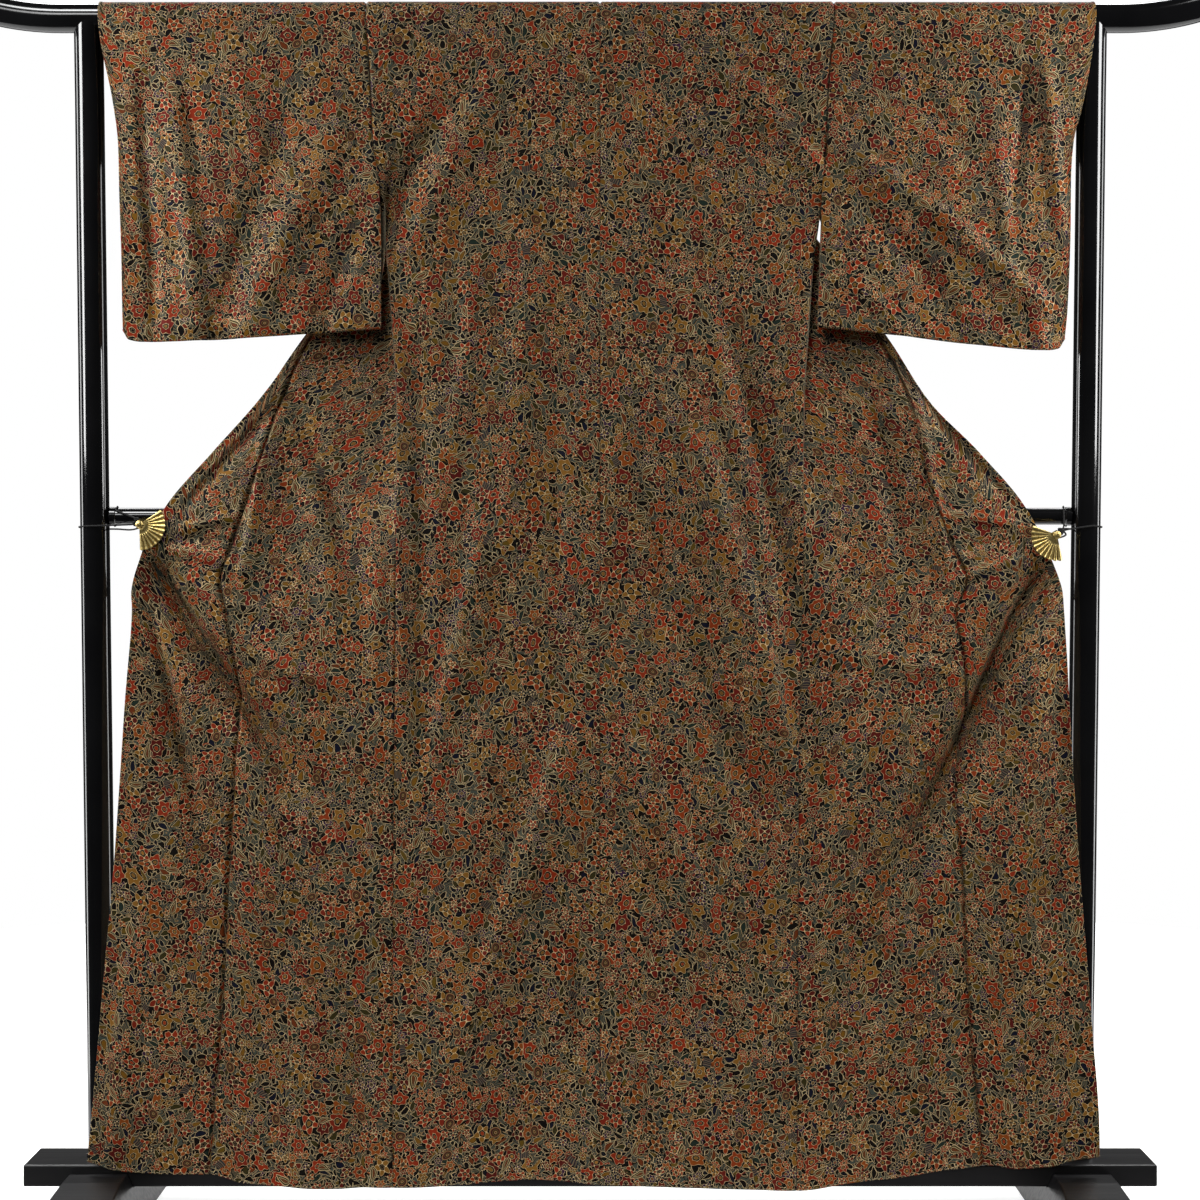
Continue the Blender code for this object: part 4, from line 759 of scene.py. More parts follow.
def back_panel(side):
    """One back panel, from its hem up the near side and over the rail to the neck and shoulder."""
    share = close_to_edges(BACK_COLUMNS)[None, :]
    bottom = side_value(HEM, share * BACK_HEM_WIDTH, side)
    rise = np.linspace(0.0, 1.0, round((RAIL_Z - HEM_Z) / ROW_STEP))[:, None]
    z = bottom + (RAIL_Z - bottom) * rise
    edge = side_value(BODY_EDGE, z, side) - SEAM_GAP / 2
    x = side * (SEAM_GAP / 2 + (edge - SEAM_GAP / 2) * share)
    hanging = points_of(x, ground(x, z) + SILK / 2, z)
    edge = side_value(BODY_EDGE, RAIL_Z, side) - SEAM_GAP / 2
    distance = SEAM_GAP / 2 + (edge - SEAM_GAP / 2) * share
    wrap_end = -WRAP_RADIUS / 4
    on_rail = np.linspace(0.0, 1.0, RAIL_ROWS + 1)[1:, None]
    past_rail = np.linspace(0.0, 1.0, PAST_RAIL_ROWS + 1)[1:, None]
    drop = np.concatenate((-NECK_ANGLE * WRAP_RADIUS * (1 - on_rail) + wrap_end * on_rail + 0 * distance,
                           wrap_end + (neck_drop(distance) - wrap_end) * past_rail))
    lift = np.concatenate((0 * on_rail, EDGE_LIFT * past_rail)) + 0 * distance
    over = far_point(side * distance + 0 * drop, drop, WALL - SILK / 2 + lift)
    middle = np.concatenate((hanging, over))
    seams = {"near": PLAIN_GROOVE, "far": PLAIN_GROOVE, "top": PLAIN_GROOVE}
    cloth_piece("back", side, middle, side, seams, ("bottom",))


def front_section(side, z, t):
    """Distance from the centre and offset: t runs from the panel's outer to its inner edge."""
    edge_offset, edge_pull, edge_swing, inner_swing, inner_pull, inner_offset = (
        curve_value(FRONT_SECTION, z, column) for column in range(1, 7))
    edge_x = side_value(BODY_EDGE, z, side) + np.where(z < ARMHOLE_TOP, SEAM_GAP / 2, -SEAM_GAP / 2)
    inner_x = side_value(FRONT_INNER, z, side) - SEAM_GAP / 2
    weights = ((1 - t) ** 3, 3 * (1 - t) ** 2 * t, 3 * (1 - t) * t ** 2, t ** 3)
    ends_x = (edge_x, edge_x + edge_pull, inner_x + inner_pull, inner_x)
    ends_y = (edge_offset, edge_offset + edge_swing, inner_offset + inner_swing, inner_offset)
    return sum(w * e for w, e in zip(weights, ends_x)), sum(w * e for w, e in zip(weights, ends_y))


FRONT_TOP = RAIL_Z - SHOULDER_DROP + (math.pi - NECK_ANGLE) * WRAP_RADIUS - SEAM_GAP


def seam_bottom(side):
    """Height of the hem at the okumi seam."""
    return side_value(HEM, side_value(FRONT_INNER, HEM_Z, side), side)


def front_panel(side):
    """One front panel, from its hem up round its fold and up the far side to the shoulder."""
    share = close_to_edges(FRONT_COLUMNS)[None, :]
    bottom = seam_bottom(side)
    rise = np.linspace(0.0, 1.0, round((FRONT_TOP - HEM_Z) / ROW_STEP))[:, None]
    drop = side_value(HEM, front_section(side, HEM_Z, share)[0], side) - bottom
    z = bottom + (FRONT_TOP - bottom) * rise + drop * (1 - rise)
    x, offset = front_section(side, z, share)
    middle = points_of(side * x, ground(side * x, z) + offset, z)
    middle = middle + out_of_face(middle, side) * (WALL - SILK) / 2
    at_okumi = FOLD_BACK if side == LEFT else FOLD_SLOPE
    seams = {"near": PLAIN_GROOVE, "far": at_okumi, "top": PLAIN_GROOVE}
    cloth_piece("front", side, middle, side, seams, ("bottom",))


def taut_offset(z):
    """How far behind the body's near face the okumi and the collar seam lie."""
    return curve_value(FRONT_SECTION, z, 6)


def okumi_panel(side):
    """One overlap panel, from its hem up to its tip under the collar."""
    share = close_to_edges(OKUMI_COLUMNS)[None, :]
    bottom = seam_bottom(side)
    row = (FRONT_TOP - bottom) / TIP_ROWS
    tip = FRONT_TOP - row * math.ceil((FRONT_TOP - OKUMI_TIP) / row)
    rise = np.linspace(0.0, 1.0, round((tip - HEM_Z) / ROW_STEP))[:, None]
    distance = side_value(FRONT_INNER, HEM_Z, side) * (1 - share) + OKUMI_HEM_REACH * share
    z = bottom + (tip - bottom) * rise + (side_value(HEM, distance, side) - bottom) * (1 - rise)
    seam = side_value(FRONT_INNER, z, side) + SEAM_GAP / 2
    x = side * (seam + (side_value(OKUMI_OUTER, z, side) - seam) * share)
    middle = points_of(x, ground(x, z) + taut_offset(z), z)
    middle = middle + out_of_face(middle, side) * (WALL - SILK) / 2
    cloth_piece("okumi", side, middle, side,
                {"near": FOLD_SLOPE if side == LEFT else FOLD_BACK}, ("far", "bottom"))


def sleeve(side):
    """One sleeve bag round the rail: a ring of cloth at each station from the body to the cuff."""
    share = close_to_edges(SLEEVE_STATIONS)[:, None]
    bottom = side_value(SLEEVE_BOTTOM, share, side) + SLEEVE_BOTTOM_CURVE

    def place(z, far):
        edge_in = side_value(SLEEVE_EDGES, z, side, 1) + SEAM_GAP / 2
        edge_out = side_value(SLEEVE_EDGES, z, side, 3)
        lap = side_value(SLEEVE_LAP, z, side) * (1 - share) ** LAP_FADE * (1.0 if far else NEAR_LAP)
        x = side * (edge_in - lap + (edge_out - edge_in) * share)
        at_body = curve_value(SLEEVE_WALLS, z, 2 if far else 1)
        at_cuff = curve_value(SLEEVE_WALLS, z, 4 if far else 3)
        y = at_body + (at_cuff - at_body) * share
        if far:
            y = y + LAP_BACK * lap
            closed = ramp(share, CUFF_CLOSE, 1.0) * ramp(-z, -CUFF_BOTTOM, CUFF_FADE - CUFF_BOTTOM)
            y = y + (curve_value(SLEEVE_WALLS, z, 3) + SILK - y) * closed
        calm_from, calm_low, calm_high = CUFF_CALM
        hang = np.clip((FOLD_END_Z - z) / FOLD_FADE, 0.0, 1.0)
        hang = hang * (1 - ramp(share, calm_from, 1.0) * ramp(z, calm_low, calm_high))
        return x, y - hang * (relief(SLEEVE_FOLDS, x, z) + drape(x + SLEEVE_DRAPE, z))

    climb = np.linspace(0.0, 1.0, SLEEVE_WALL_ROWS + 1)[None, :]
    near_z = bottom + (RAIL_Z - bottom) * climb
    near_x, near_y = place(near_z, False)
    far_z = near_z[:, ::-1]
    far_x, far_y = place(far_z, True)
    turn = np.linspace(0.0, math.pi, SLEEVE_RAIL_ROWS + 1)[None, 1:-1]
    rail_x = near_x[:, -1:] + 0 * turn
    half = (far_y[:, -1:] - near_y[:, :1]) / 2
    under = np.linspace(0.0, math.pi, SLEEVE_BOTTOM_ROWS + 1)[None, 1:-1]
    under_y, under_z = near_y[:, :1] + half * (1 + np.cos(under)), bottom - half * np.sin(under)
    middle = np.concatenate((
        points_of(near_x, near_y, near_z), over_rail(rail_x, turn + 0 * rail_x, SLEEVE_WALL / 2),
        points_of(far_x, far_y, far_z), points_of(near_x[:, :1], under_y, under_z)), axis=1)
    middle = middle + out_of_face(middle, -side, True) * (SLEEVE_WALL - SILK) / 2
    cloth_piece("sleeve", side, middle, -side, {"bottom": PLAIN_GROOVE}, ("top",), ring=True)


def soften(values, times):
    """Values of a grid evened out along both its directions."""
    for _ in range(times):
        padded = np.pad(values, 1, mode="edge")
        beside = padded[:-2, 1:-1] + padded[2:, 1:-1] + padded[1:-1, :-2] + padded[1:-1, 2:]
        values = (beside + 4 * values) / 8
    return values


def layer_offset(side, distance, z):
    """Offset of the rearmost cloth at a place on the far side, for what lies on its back."""
    rearmost = taut_offset(z)
    samples = [front_section(side, z, t) for t in np.linspace(*LAYER_PART, LAYER_SAMPLES)]
    for (x0, offset0), (x1, offset1) in zip(samples, samples[1:]):
        here = np.minimum(x0, x1) - LAYER_REACH <= distance
        here &= distance <= np.maximum(x0, x1) + LAYER_REACH
        rearmost = np.where(here, np.maximum(rearmost, np.maximum(offset0, offset1)), rearmost)
    return rearmost


def neck_share(distance):
    """1 where the collar runs straight behind the neck, falling to 0 round the shoulders."""
    return np.clip((NECK_FADE[1] - distance) / (NECK_FADE[1] - NECK_FADE[0]), 0.0, 1.0)


def collar():
    """The folded collar band, which hangs from its seam on the far side of the cloth."""
    neck_height = RAIL_Z + (math.pi - NECK_ANGLE) * WRAP_RADIUS
    top = neck_height - SHOULDER_DROP
    sides = {}
    for side in (LEFT, RIGHT):
        z = np.arange(COLLAR_END_Z, top, ROW_STEP)
        at_okumi = 1 - ramp(z, OKUMI_TIP - TIP_BLEND, OKUMI_TIP + TIP_BLEND)
        inner, outer = side_value(FRONT_INNER, z, side), side_value(OKUMI_OUTER, z, side)
        sides[side] = np.stack((side * (inner + (outer - inner) * at_okumi), z), axis=-1)
    distance = np.linspace(-NECK_HALF_WIDTH, NECK_HALF_WIDTH, NECK_POINTS)
    neck = np.stack((distance, neck_height - neck_drop(np.abs(distance))), axis=-1)
    seam = np.concatenate((sides[LEFT], neck, sides[RIGHT][::-1]))
    along = np.gradient(seam, axis=0)
    for _ in range(COLLAR_EVENING[0]):
        along[1:-1] = (along[:-2] + 2 * along[1:-1] + along[2:]) / 4
    along = along / np.linalg.norm(along, axis=-1, keepdims=True)
    x0, h0 = seam[:, :1], seam[:, 1:]
    width = SEAM_GAP + COLLAR_WIDTH * close_to_edges(COLLAR_COLUMNS)[None, :]
    at_front = np.abs(x0) > NECK_HALF_WIDTH
    x = np.where(at_front, x0 + along[:, 1:] * width, x0 * (1 - NECK_EASE * width / COLLAR_WIDTH))
    height = h0 - along[:, :1] * width
    at_seam = COLLAR_BAND / 2 + EDGE_LIFT
    at_neck = at_seam + (COLLAR_REST - at_seam) * np.clip(width / COLLAR_LIFT_WIDTH, 0.0, 1.0)
    lift = COLLAR_REST + (at_neck - COLLAR_REST) * neck_share(np.abs(x0))
    on_rail = far_point(x, neck_height - height, lift)
    left_layer, right_layer = (layer_offset(side, np.abs(x), height) for side in (LEFT, RIGHT))
    layer = np.where(at_front, np.where(x0 < 0, left_layer, right_layer), taut_offset(height))
    layer = soften(layer, COLLAR_EVENING[1])
    rest = WRAP_RADIUS + lift - (ground(x, RAIL_Z) + taut_offset(RAIL_Z))
    flare = COLLAR_FLARE * width * (1 - neck_share(np.abs(x0)))
    hanging = points_of(x, ground(x, height) + layer + rest + flare, height)
    middle = np.where((height > RAIL_Z)[..., None], on_rail, hanging)
    half = np.full(x.shape, COLLAR_BAND / 2)
    cloth_piece("collar", None, middle, 1, {}, half=half)


def new_piece(made, material, slot, *nodes):
    """Put a finished piece in the frame with its finish."""
    made.data.materials.clear()
    made.data.materials.append(material)
    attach(made, "root")
    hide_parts(*nodes)
    return made


def swept(name, path, radii, sides):
    """A round bar along a path, with a radius at each point and flat ends."""
    path, radii = np.array(path, dtype=float), np.array(radii, dtype=float)
    along = np.gradient(path, axis=0)
    along = along / np.linalg.norm(along, axis=-1, keepdims=True)
    up = np.array((0.0, 1.0, 0.0)) if abs(along[0][1]) < 0.9 else np.array((0.0, 0.0, 1.0))
    rings = []
    turns = np.linspace(0.0, 2 * math.pi, sides, endpoint=False)[:, None]
    for point, radius, direction in zip(path, radii, along):
        up = up - direction * up.dot(direction)
        up = up / np.linalg.norm(up)
        rings.append(point + radius * (np.cos(turns) * up + np.sin(turns) * np.cross(direction, up)))
    ids = np.arange(len(path) * sides).reshape(len(path), sides)
    following = np.roll(ids, -1, axis=1)
    quads = np.stack((ids[:-1], following[:-1], following[1:], ids[1:]), axis=-1).reshape(-1, 4)
    ends = [ids[0][::-1].tolist(), ids[-1].tolist()]
    mesh = bpy.data.meshes.new(name)
    mesh.from_pydata(np.concatenate(rings).tolist(), [], quads.tolist() + ends)
    mesh.shade_smooth()
    mesh.set_sharp_from_angle(angle=BAR_SHARP_EDGE)
    made = bpy.data.objects.new(name, mesh)
    bpy.context.scene.collection.objects.link(made)
    return made


def post_x(z):
    """Distance of a splayed post's axis from the middle."""
    share = (z - BEAM_TOP) / (RAIL_Z - BEAM_TOP)
    return POST_FOOT_X + (POST_TOP_X - POST_FOOT_X) * share


def top_rail():
    """Round pipe with both ends bent upward, each closed by a domed cap behind a fine joint."""
    end_turn = math.asin((RAIL_HALF_LENGTH - RAIL_STRAIGHT) / RAIL_BEND_RADIUS)
    half = [(RAIL_STRAIGHT * k / RAIL_STEPS, RAIL_Z, RAIL_RADIUS) for k in range(RAIL_STEPS + 1)]
    for turn in np.linspace(0.0, end_turn, BEND_STEPS + 1)[1:]:
        half.append((RAIL_STRAIGHT + RAIL_BEND_RADIUS * math.sin(turn),
                     RAIL_Z + RAIL_BEND_RADIUS * (1 - math.cos(turn)), RAIL_RADIUS))
    end_x, end_z, _ = half[-1]
    cap = list(CAP_JOINT)
    for turn in map(math.radians, CAP_TURNS):
        cap.append((CAP_DOME * RAIL_RADIUS * math.sin(turn), math.cos(turn)))
    for reach, share in cap:
        half.append((end_x + reach * math.cos(end_turn), end_z + reach * math.sin(end_turn),
                     RAIL_RADIUS * share))
    half = sorted(half, key=lambda row: row[0])
    path = [(-x, 0.0, z) for x, z, _ in half[:0:-1]] + [(x, 0.0, z) for x, z, _ in half]
    radii = [r for _, _, r in half[:0:-1]] + [r for _, _, r in half]
    rail = swept("pipe_top_rail", path, radii, PIPE_SIDES)
    new_piece(rail, PIPE_ENAMEL, "pipe_enamel", "top_rail")


def posts():
    """Splayed posts, their tops coped round the underside of the top rail, in a ring on the beam."""
    for side in (LEFT, RIGHT):
        foot = BEAM_TOP + FIT_GAP
        outline = [(foot + up, share) for up, share in POST_RING]
        plain = np.linspace(foot + POST_PLAIN[0], RAIL_Z - POST_PLAIN[1], POST_STEPS)
        outline += [(z, 1.0) for z in plain]
        path = [(side * post_x(z), 0.0, z) for z, _ in outline]
        radii = [POST_RADIUS * share for _, share in outline]
        post = swept("pipe_post_" + SIDE_NAMES[side], path, radii, PIPE_SIDES)
        for corner in post.data.vertices:
            if corner.co.z > RAIL_Z - COPE_REACH:
                clear = math.sqrt(max(0.0, (RAIL_RADIUS + FIT_GAP) ** 2 - corner.co.y ** 2))
                corner.co.z = min(corner.co.z, RAIL_Z - clear)
        new_piece(post, PIPE_ENAMEL, "pipe_enamel", "post_" + SIDE_NAMES[side])


def middle_rail():
    """Thin rail between the posts, with a collar where it meets each."""
    end = post_x(MIDDLE_RAIL_Z) - POST_RADIUS - FIT_GAP
    half = [(0.0, 1.0), (0.3, 1.0)] + [(end - back, share) for back, share in RAIL_RING]
    path = [(-x, 0.0, MIDDLE_RAIL_Z) for x, _ in half[:0:-1]] + [(x, 0.0, MIDDLE_RAIL_Z) for x, _ in half]
    radii = [MIDDLE_RAIL_RADIUS * s for _, s in half[:0:-1] + half]
    rail = swept("pipe_middle_rail", path, radii, THIN_SIDES)
    new_piece(rail, PIPE_ENAMEL, "pipe_enamel", "middle_rail")


def fan(side):
    """Brass fan of rounded ribs from a smooth hub, with a scalloped rim."""
    pivot_x, pivot_z, middle = CLIP_PIVOT[side]
    low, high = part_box("clip_fan_" + SIDE_NAMES[side])
    face_y = low[1] + FAN_PLEAT
    turn_share = np.linspace(0.0, 1.0, FAN_RIBS * RIB_STEPS + 1)[None, :]
    in_rib = 2 * ((turn_share * FAN_RIBS) % 1.0) - 1
    in_rib[0, -1] = 1.0
    reach = np.linspace(0.0, 1.0, FAN_STEPS)[:, None]
    rim = FAN_RADIUS * (1 - RIM_SCALLOP * in_rib ** 2 * reach ** 3)
    radius = FAN_ROOT + (rim - FAN_ROOT) * reach
    turn = np.radians(middle + FAN_OPENING * (turn_share - 0.5))
    ribbed = ramp(radius, HUB_RADIUS, HUB_RADIUS * HUB_SHOULDER)
    crown = np.sqrt(np.maximum(0.0, 1 - in_rib ** 2)) * 2 - 1
    rolled, facet = (
        rise * np.exp(-((radius - whole * share) / width) ** 2)
        for whole, (share, width, rise) in ((FAN_RADIUS, RIM_ROLL), (HUB_RADIUS, HUB_FACET)))
    height = FAN_PLEAT * (ribbed * (crown + rolled) * radius / FAN_RADIUS + (1 - ribbed) * facet)
    near = points_of(pivot_x + radius * np.cos(turn), face_y - height, pivot_z + radius * np.sin(turn))
    far = near.copy()
    far[..., 1] = high[1] + np.minimum(0.0, -FAN_BACK * (height + FAN_PLEAT))
    points = np.stack((near, far))
    ids = np.arange(points.size // 3).reshape(points.shape[:3])
    faces = np.roll(shell_faces(ids[::-1]), 1, axis=1)
    piece = mesh_piece("clip_brass_fan_" + SIDE_NAMES[side], points, faces)
    piece.data.set_sharp_from_angle(angle=FAN_SHARP_EDGE)
    new_piece(piece, CLIP_BRASS, "clip_brass", "clip_fan_" + SIDE_NAMES[side])


def knob(side):
    """Round eyelet knob at the fan's pivot."""
    low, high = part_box("clip_knob_" + SIDE_NAMES[side])
    x, z = (low[0] + high[0]) / 2, (low[2] + high[2]) / 2
    radius = (high[0] - low[0]) / 2
    depth = high[1] - low[1]
    path = [(x, high[1] - depth * at, z) for at, _ in KNOB_OUTLINE]
    radii = [radius * share for _, share in KNOB_OUTLINE]
    piece = swept("clip_brass_knob_" + SIDE_NAMES[side], path, radii, THIN_SIDES)
    new_piece(piece, CLIP_BRASS, "clip_brass", "clip_knob_" + SIDE_NAMES[side])


def geometry_tree(name, sizes):
    """A Geometry Nodes tree that takes edge chains and named sizes."""
    tree = bpy.data.node_groups.new(name, "GeometryNodeTree")
    tree.interface.new_socket("Path", in_out="INPUT", socket_type="NodeSocketGeometry")
    for size in sizes:
        tree.interface.new_socket(size, in_out="INPUT", socket_type="NodeSocketFloat")
    tree.interface.new_socket("Mesh", in_out="OUTPUT", socket_type="NodeSocketGeometry")
    return tree


def twisted_cord(material):
    """Tree of a cord: strands that wind round each other along the path."""
    tree = geometry_tree("twisted cord", CORD_TWIST)
    node = functools.partial(add, tree)
    given = node("NodeGroupInput").outputs
    path = node("GeometryNodeMeshToCurve", given["Path"])
    path = node("GeometryNodeResampleCurve", path, mode="LENGTH", length=given["Step"])
    strands = node("GeometryNodeDuplicateElements", path, domain="SPLINE", amount=CORD_STRANDS)
    along = node("Math", node("GeometryNodeSplineParameter").outputs["Length"], given["Turn Length"],
                 operation="DIVIDE")
    turn = node("Math", strands.outputs["Duplicate Index"], 1 / CORD_STRANDS, along,
                operation="MULTIPLY_ADD")
    turn = node("Math", turn, 2 * math.pi, operation="MULTIPLY")
    normal = node("GeometryNodeInputNormal")
    sideways = node("VectorMath", node("GeometryNodeInputTangent"), normal, operation="CROSS_PRODUCT")
    normal = node("VectorMath", normal, operation="SCALE", scale=node("Math", turn, operation="COSINE"))
    sideways = node("VectorMath", sideways, operation="SCALE", scale=node("Math", turn, operation="SINE"))
    strand_radius = node("Math", given["Cord Radius"], STRAND_RADIUS, operation="MULTIPLY")
    axis_distance = node("Math", given["Cord Radius"], STRAND_AXIS, operation="MULTIPLY")
    offset = node("VectorMath", node("VectorMath", normal, sideways, operation="ADD"), operation="SCALE",
                  scale=axis_distance)
    wound = node("GeometryNodeSetPosition", strands, offset=offset)
    section = node("GeometryNodeCurvePrimitiveCircle", resolution=STRAND_SIDES, radius=strand_radius)
    tubes = node("GeometryNodeCurveToMesh", wound, section, fill_caps=True)
    plain = node("GeometryNodeRealizeInstances", tubes)
    node("NodeGroupOutput", node("GeometryNodeSetMaterial", plain, material=material))
    return tree


def running_stitches(material):
    """Tree of short threads laid along the path, each turned a little aside."""
    tree = geometry_tree("running stitches", HEM_STITCH)
    node = functools.partial(add, tree)
    given = node("NodeGroupInput").outputs
    path = node("GeometryNodeMeshToCurve", given["Path"])
    path = node("GeometryNodeResampleCurve", path, mode="LENGTH", length=given["Pitch"])
    aside = node("FunctionNodeRandomValue", (-STITCH_TILT,) * 3, (STITCH_TILT,) * 3,
                 data_type="FLOAT_VECTOR", seed=STITCH_SEED)
    along = node("VectorMath", node("GeometryNodeInputTangent"), aside, operation="ADD")
    turned = node("FunctionNodeAlignRotationToVector", axis="Z", vector=along)
    size = node("CombineXYZ", given["Thread Radius"], given["Thread Radius"],
                node("Math", given["Stitch Length"], 0.5, operation="MULTIPLY"))
    thread = node("GeometryNodeMeshUVSphere", segments=STITCH_SIDES, rings=STITCH_RINGS, radius=1.0)
    laid = node("GeometryNodeInstanceOnPoints", path, instance=thread, rotation=turned, scale=size)
    plain = node("GeometryNodeRealizeInstances", laid)
    node("NodeGroupOutput", node("GeometryNodeSetMaterial", plain, material=material))
    return tree


def grown(name, tree, lines, sizes):
    """A plain mesh that a tree makes along chains of points."""
    chains = bpy.data.meshes.new(name + " path")
    points, edges = [], []
    for line in lines:
        edges += [(len(points) + k, len(points) + k + 1) for k in range(len(line) - 1)]
        points += [tuple(point) for point in line]
    chains.from_pydata(points, edges, [])
    made = bpy.data.objects.new(name, chains)
    bpy.context.scene.collection.objects.link(made)
    modifier = made.modifiers.new("made along the path", "NODES")
    modifier.node_group = tree
    for socket in tree.interface.items_tree:
        if socket.in_out == "INPUT" and socket.name in sizes:
            modifier[socket.identifier] = sizes[socket.name]
    evaluated = made.evaluated_get(bpy.context.evaluated_depsgraph_get())
    plain = bpy.data.meshes.new_from_object(evaluated)
    made.modifiers.remove(modifier)
    made.data = plain
    plain.name = name
    plain.shade_smooth()
    bpy.data.meshes.remove(chains)
    return made


def smooth_path(points, steps):
    """A route evened out into a smooth chain of points."""
    points = [Vector(point) for point in points]
    ends = [points[0] * 2 - points[1]] + points + [points[-1] * 2 - points[-2]]
    chain = []
    for a, b, c, d in zip(ends, ends[1:], ends[2:], ends[3:]):
        for k in range(steps):
            s = k / steps
            chain.append(0.5 * (2 * b + (c - a) * s + (2 * a - 5 * b + 4 * c - d) * s ** 2
                                + (3 * b - a - 3 * c + d) * s ** 3))
    return chain + [points[-1]]


def clip_cords(side, tree):
    """The cord from a clip round its post, and the tie from the clip over the middle rail, each knotted."""
    name = SIDE_NAMES[side]
    pivot_x, pivot_z, _ = CLIP_PIVOT[side]
    pivot_x += KIMONO_X
    cord_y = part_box("clip_fan_" + name)[1][1] + CORD_RADIUS + CORD_BEHIND
    z = MIDDLE_RAIL_Z - MIDDLE_RAIL_RADIUS - CORD_RADIUS - CORD_BELOW
    wrap = POST_RADIUS + CORD_RADIUS + FIT_GAP
    round_rail = MIDDLE_RAIL_RADIUS + CORD_RADIUS + 2 * FIT_GAP
    pin_gap = PIN_RADIUS + CORD_RADIUS + FIT_GAP
    halfway = (pivot_z + z) / 2

    # Out from the pin, round the post, and back below
    route = [(pivot_x + side * pin_gap, cord_y, pivot_z + CORD_PARTING),
             (pivot_x + side * 0.013, cord_y + 0.0035, halfway + CORD_PARTING)]
    start, sweep, slide, steps = POST_TURN
    for share in np.linspace(0.0, 1.0, steps + 1):
        turn = math.radians(start + sweep * share)
        route.append((side * (post_x(z) + wrap * math.cos(turn)), wrap * math.sin(turn),
                      z + CORD_PARTING - slide * share))
    route += [(side * (post_x(z) - POST_RADIUS - 0.011), -0.001, z - 0.0022),
              (pivot_x + side * 0.013, cord_y + 0.0070, halfway - 0.0050),
              (pivot_x + side * 0.0012, cord_y + 0.0030, pivot_z - pin_gap - 0.0002)]

    # Up from the pin and round the middle rail
    tie = [(pivot_x + side * 0.0012, cord_y + 0.0004, pivot_z + pin_gap + 0.0002),
           (pivot_x + side * 0.010, cord_y + 0.0065, pivot_z + 0.010)]
    start, sweep, slide, steps = TIE_TURN
    for share in np.linspace(0.0, 1.0, steps + 1):
        turn = math.radians(start + sweep * share)
        tie.append((side * (TIE_X + slide * share), round_rail * math.cos(turn),
                    MIDDLE_RAIL_Z + round_rail * math.sin(turn)))

    for kind, points in (("cord", route), ("tie", tie)):
        chain = smooth_path(points, PATH_STEPS)
        middle = chain[0].lerp(chain[PATH_STEPS], KNOT_PLACE[kind])
        knot = []
        for t in np.linspace(0.0, 2 * math.pi, KNOT_STEPS + 1):
            knot.append(middle + KNOT_SIZE * Vector((math.sin(t) + 2 * math.sin(2 * t), -math.sin(3 * t),
                                                     math.cos(t) - 2 * math.cos(2 * t))))
        piece = grown("cord_%s_%s" % (kind, name), tree, [chain, knot], CORD_TWIST)
        new_piece(piece, CORD_BRAID, "cord_braid", "clip_%s_%s" % (kind, name))


def stitches():
    """Seam stitches down in the grooves, and the paler tacking along the hem."""
    seams = [EDGE_LINES[node][edge] for node, edge in (
        ("back_left", "near"), ("back_left", "far"), ("back_right", "far"), ("okumi_left", "near"),
        ("okumi_right", "near"), ("collar", "near"))]
    hems = [EDGE_LINES[kind + "_" + name]["hem"]
            for kind in ("back", "front", "okumi") for name in SIDE_NAMES.values()]
    for name, lines, sizes, material in (("thread_seams", seams, SEAM_STITCH, DARK_THREAD),
                                         ("thread_hem", hems, HEM_STITCH, PALE_THREAD)):
        piece = grown(name, running_stitches(material), lines, sizes)
        piece.data.materials.clear()
        piece.data.materials.append(material)
        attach(piece, "root")


def carried_over():
    """Better finishes for the solids whose shape is right as it is."""
    finishes = {"base_beam": BASE_LACQUER, "foot_left": BASE_LACQUER, "foot_right": BASE_LACQUER,
                "clip_jaw_left": CLIP_BRASS, "clip_jaw_right": CLIP_BRASS}
    for node, material in finishes.items():
        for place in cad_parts[node].material_slots:
            place.material = material


def bands(*colours):
    """Stops of a colour ramp that gives each colour an equal share."""
    return [(k / len(colours), srgb(colour)) for k, colour in enumerate(colours)]


# Dyes of the print
GROUND_DYES = bands("#3e463b", "#454535", "#363f39", "#464132")
OUTLINE = srgb("#bba67d")
FAINT_LINE = srgb("#786243")
INNER_LINE = srgb("#080302")
SMALL_DYES = bands("#060201", "#0e0b05", "#060812", "#221006", "#070201", "#0c0d06", "#561909", "#050201")
LEAF_DYES = bands("#56420f", "#080402", "#694710", "#18241d", "#060201", "#2c270b", "#080b1c", "#5c280c")
PETAL_DYES = bands("#7a220b", "#7a3a0e", "#5c140c", "#76501a", "#6c1c0c", "#7b2d0b", "#4c0f0a", "#80240b")
BUD_DYES = bands("#78200b", "#7e3b0e", "#520f09", "#301733", "#7e2b0b", "#65430e", "#70230c", "#0b0d1d")
CENTRE_DYES = bands("#8c6122", "#0c0603", "#842b10", "#6c4c1b")
RING_DYES = bands("#4f1e12", "#816c45", "#0c0b09", "#5c3c1b", "#0a101b", "#5c2314", "#816c45", "#0c0b09")
STRIPE_DYES = bands("#101527", "#5e5340", "#251522", "#514835")
DROP_DYES = [(0.0, OUTLINE), (0.17, INNER_LINE), (0.36, srgb("#483e1b")), (0.60, OUTLINE),
             (0.70, INNER_LINE), (0.84, srgb("#5c3014"))]

# Sizes of the print in millimetres: its lines, drawn at 0.4 mm where the real ones are nearer 0.3 mm, and
# the noises that move its motifs, gather them and draw its scrolls
LINE_MM = 0.42
PETAL_LINE_MM = 0.34
WANDER_MM = 26.0
WANDER_SHIFT = (10.0, 10.0, 0.0)
CLUSTER_MM = 52.0
SCROLL_MM = 11.0

# Scrolls of the ground: how often their lines come, the pale one's part of a step, the dark one's middle
# and half width
SCROLL_LINES = 5.0
PALE_PART = 0.14
DARK_PART = (0.26, 0.12)

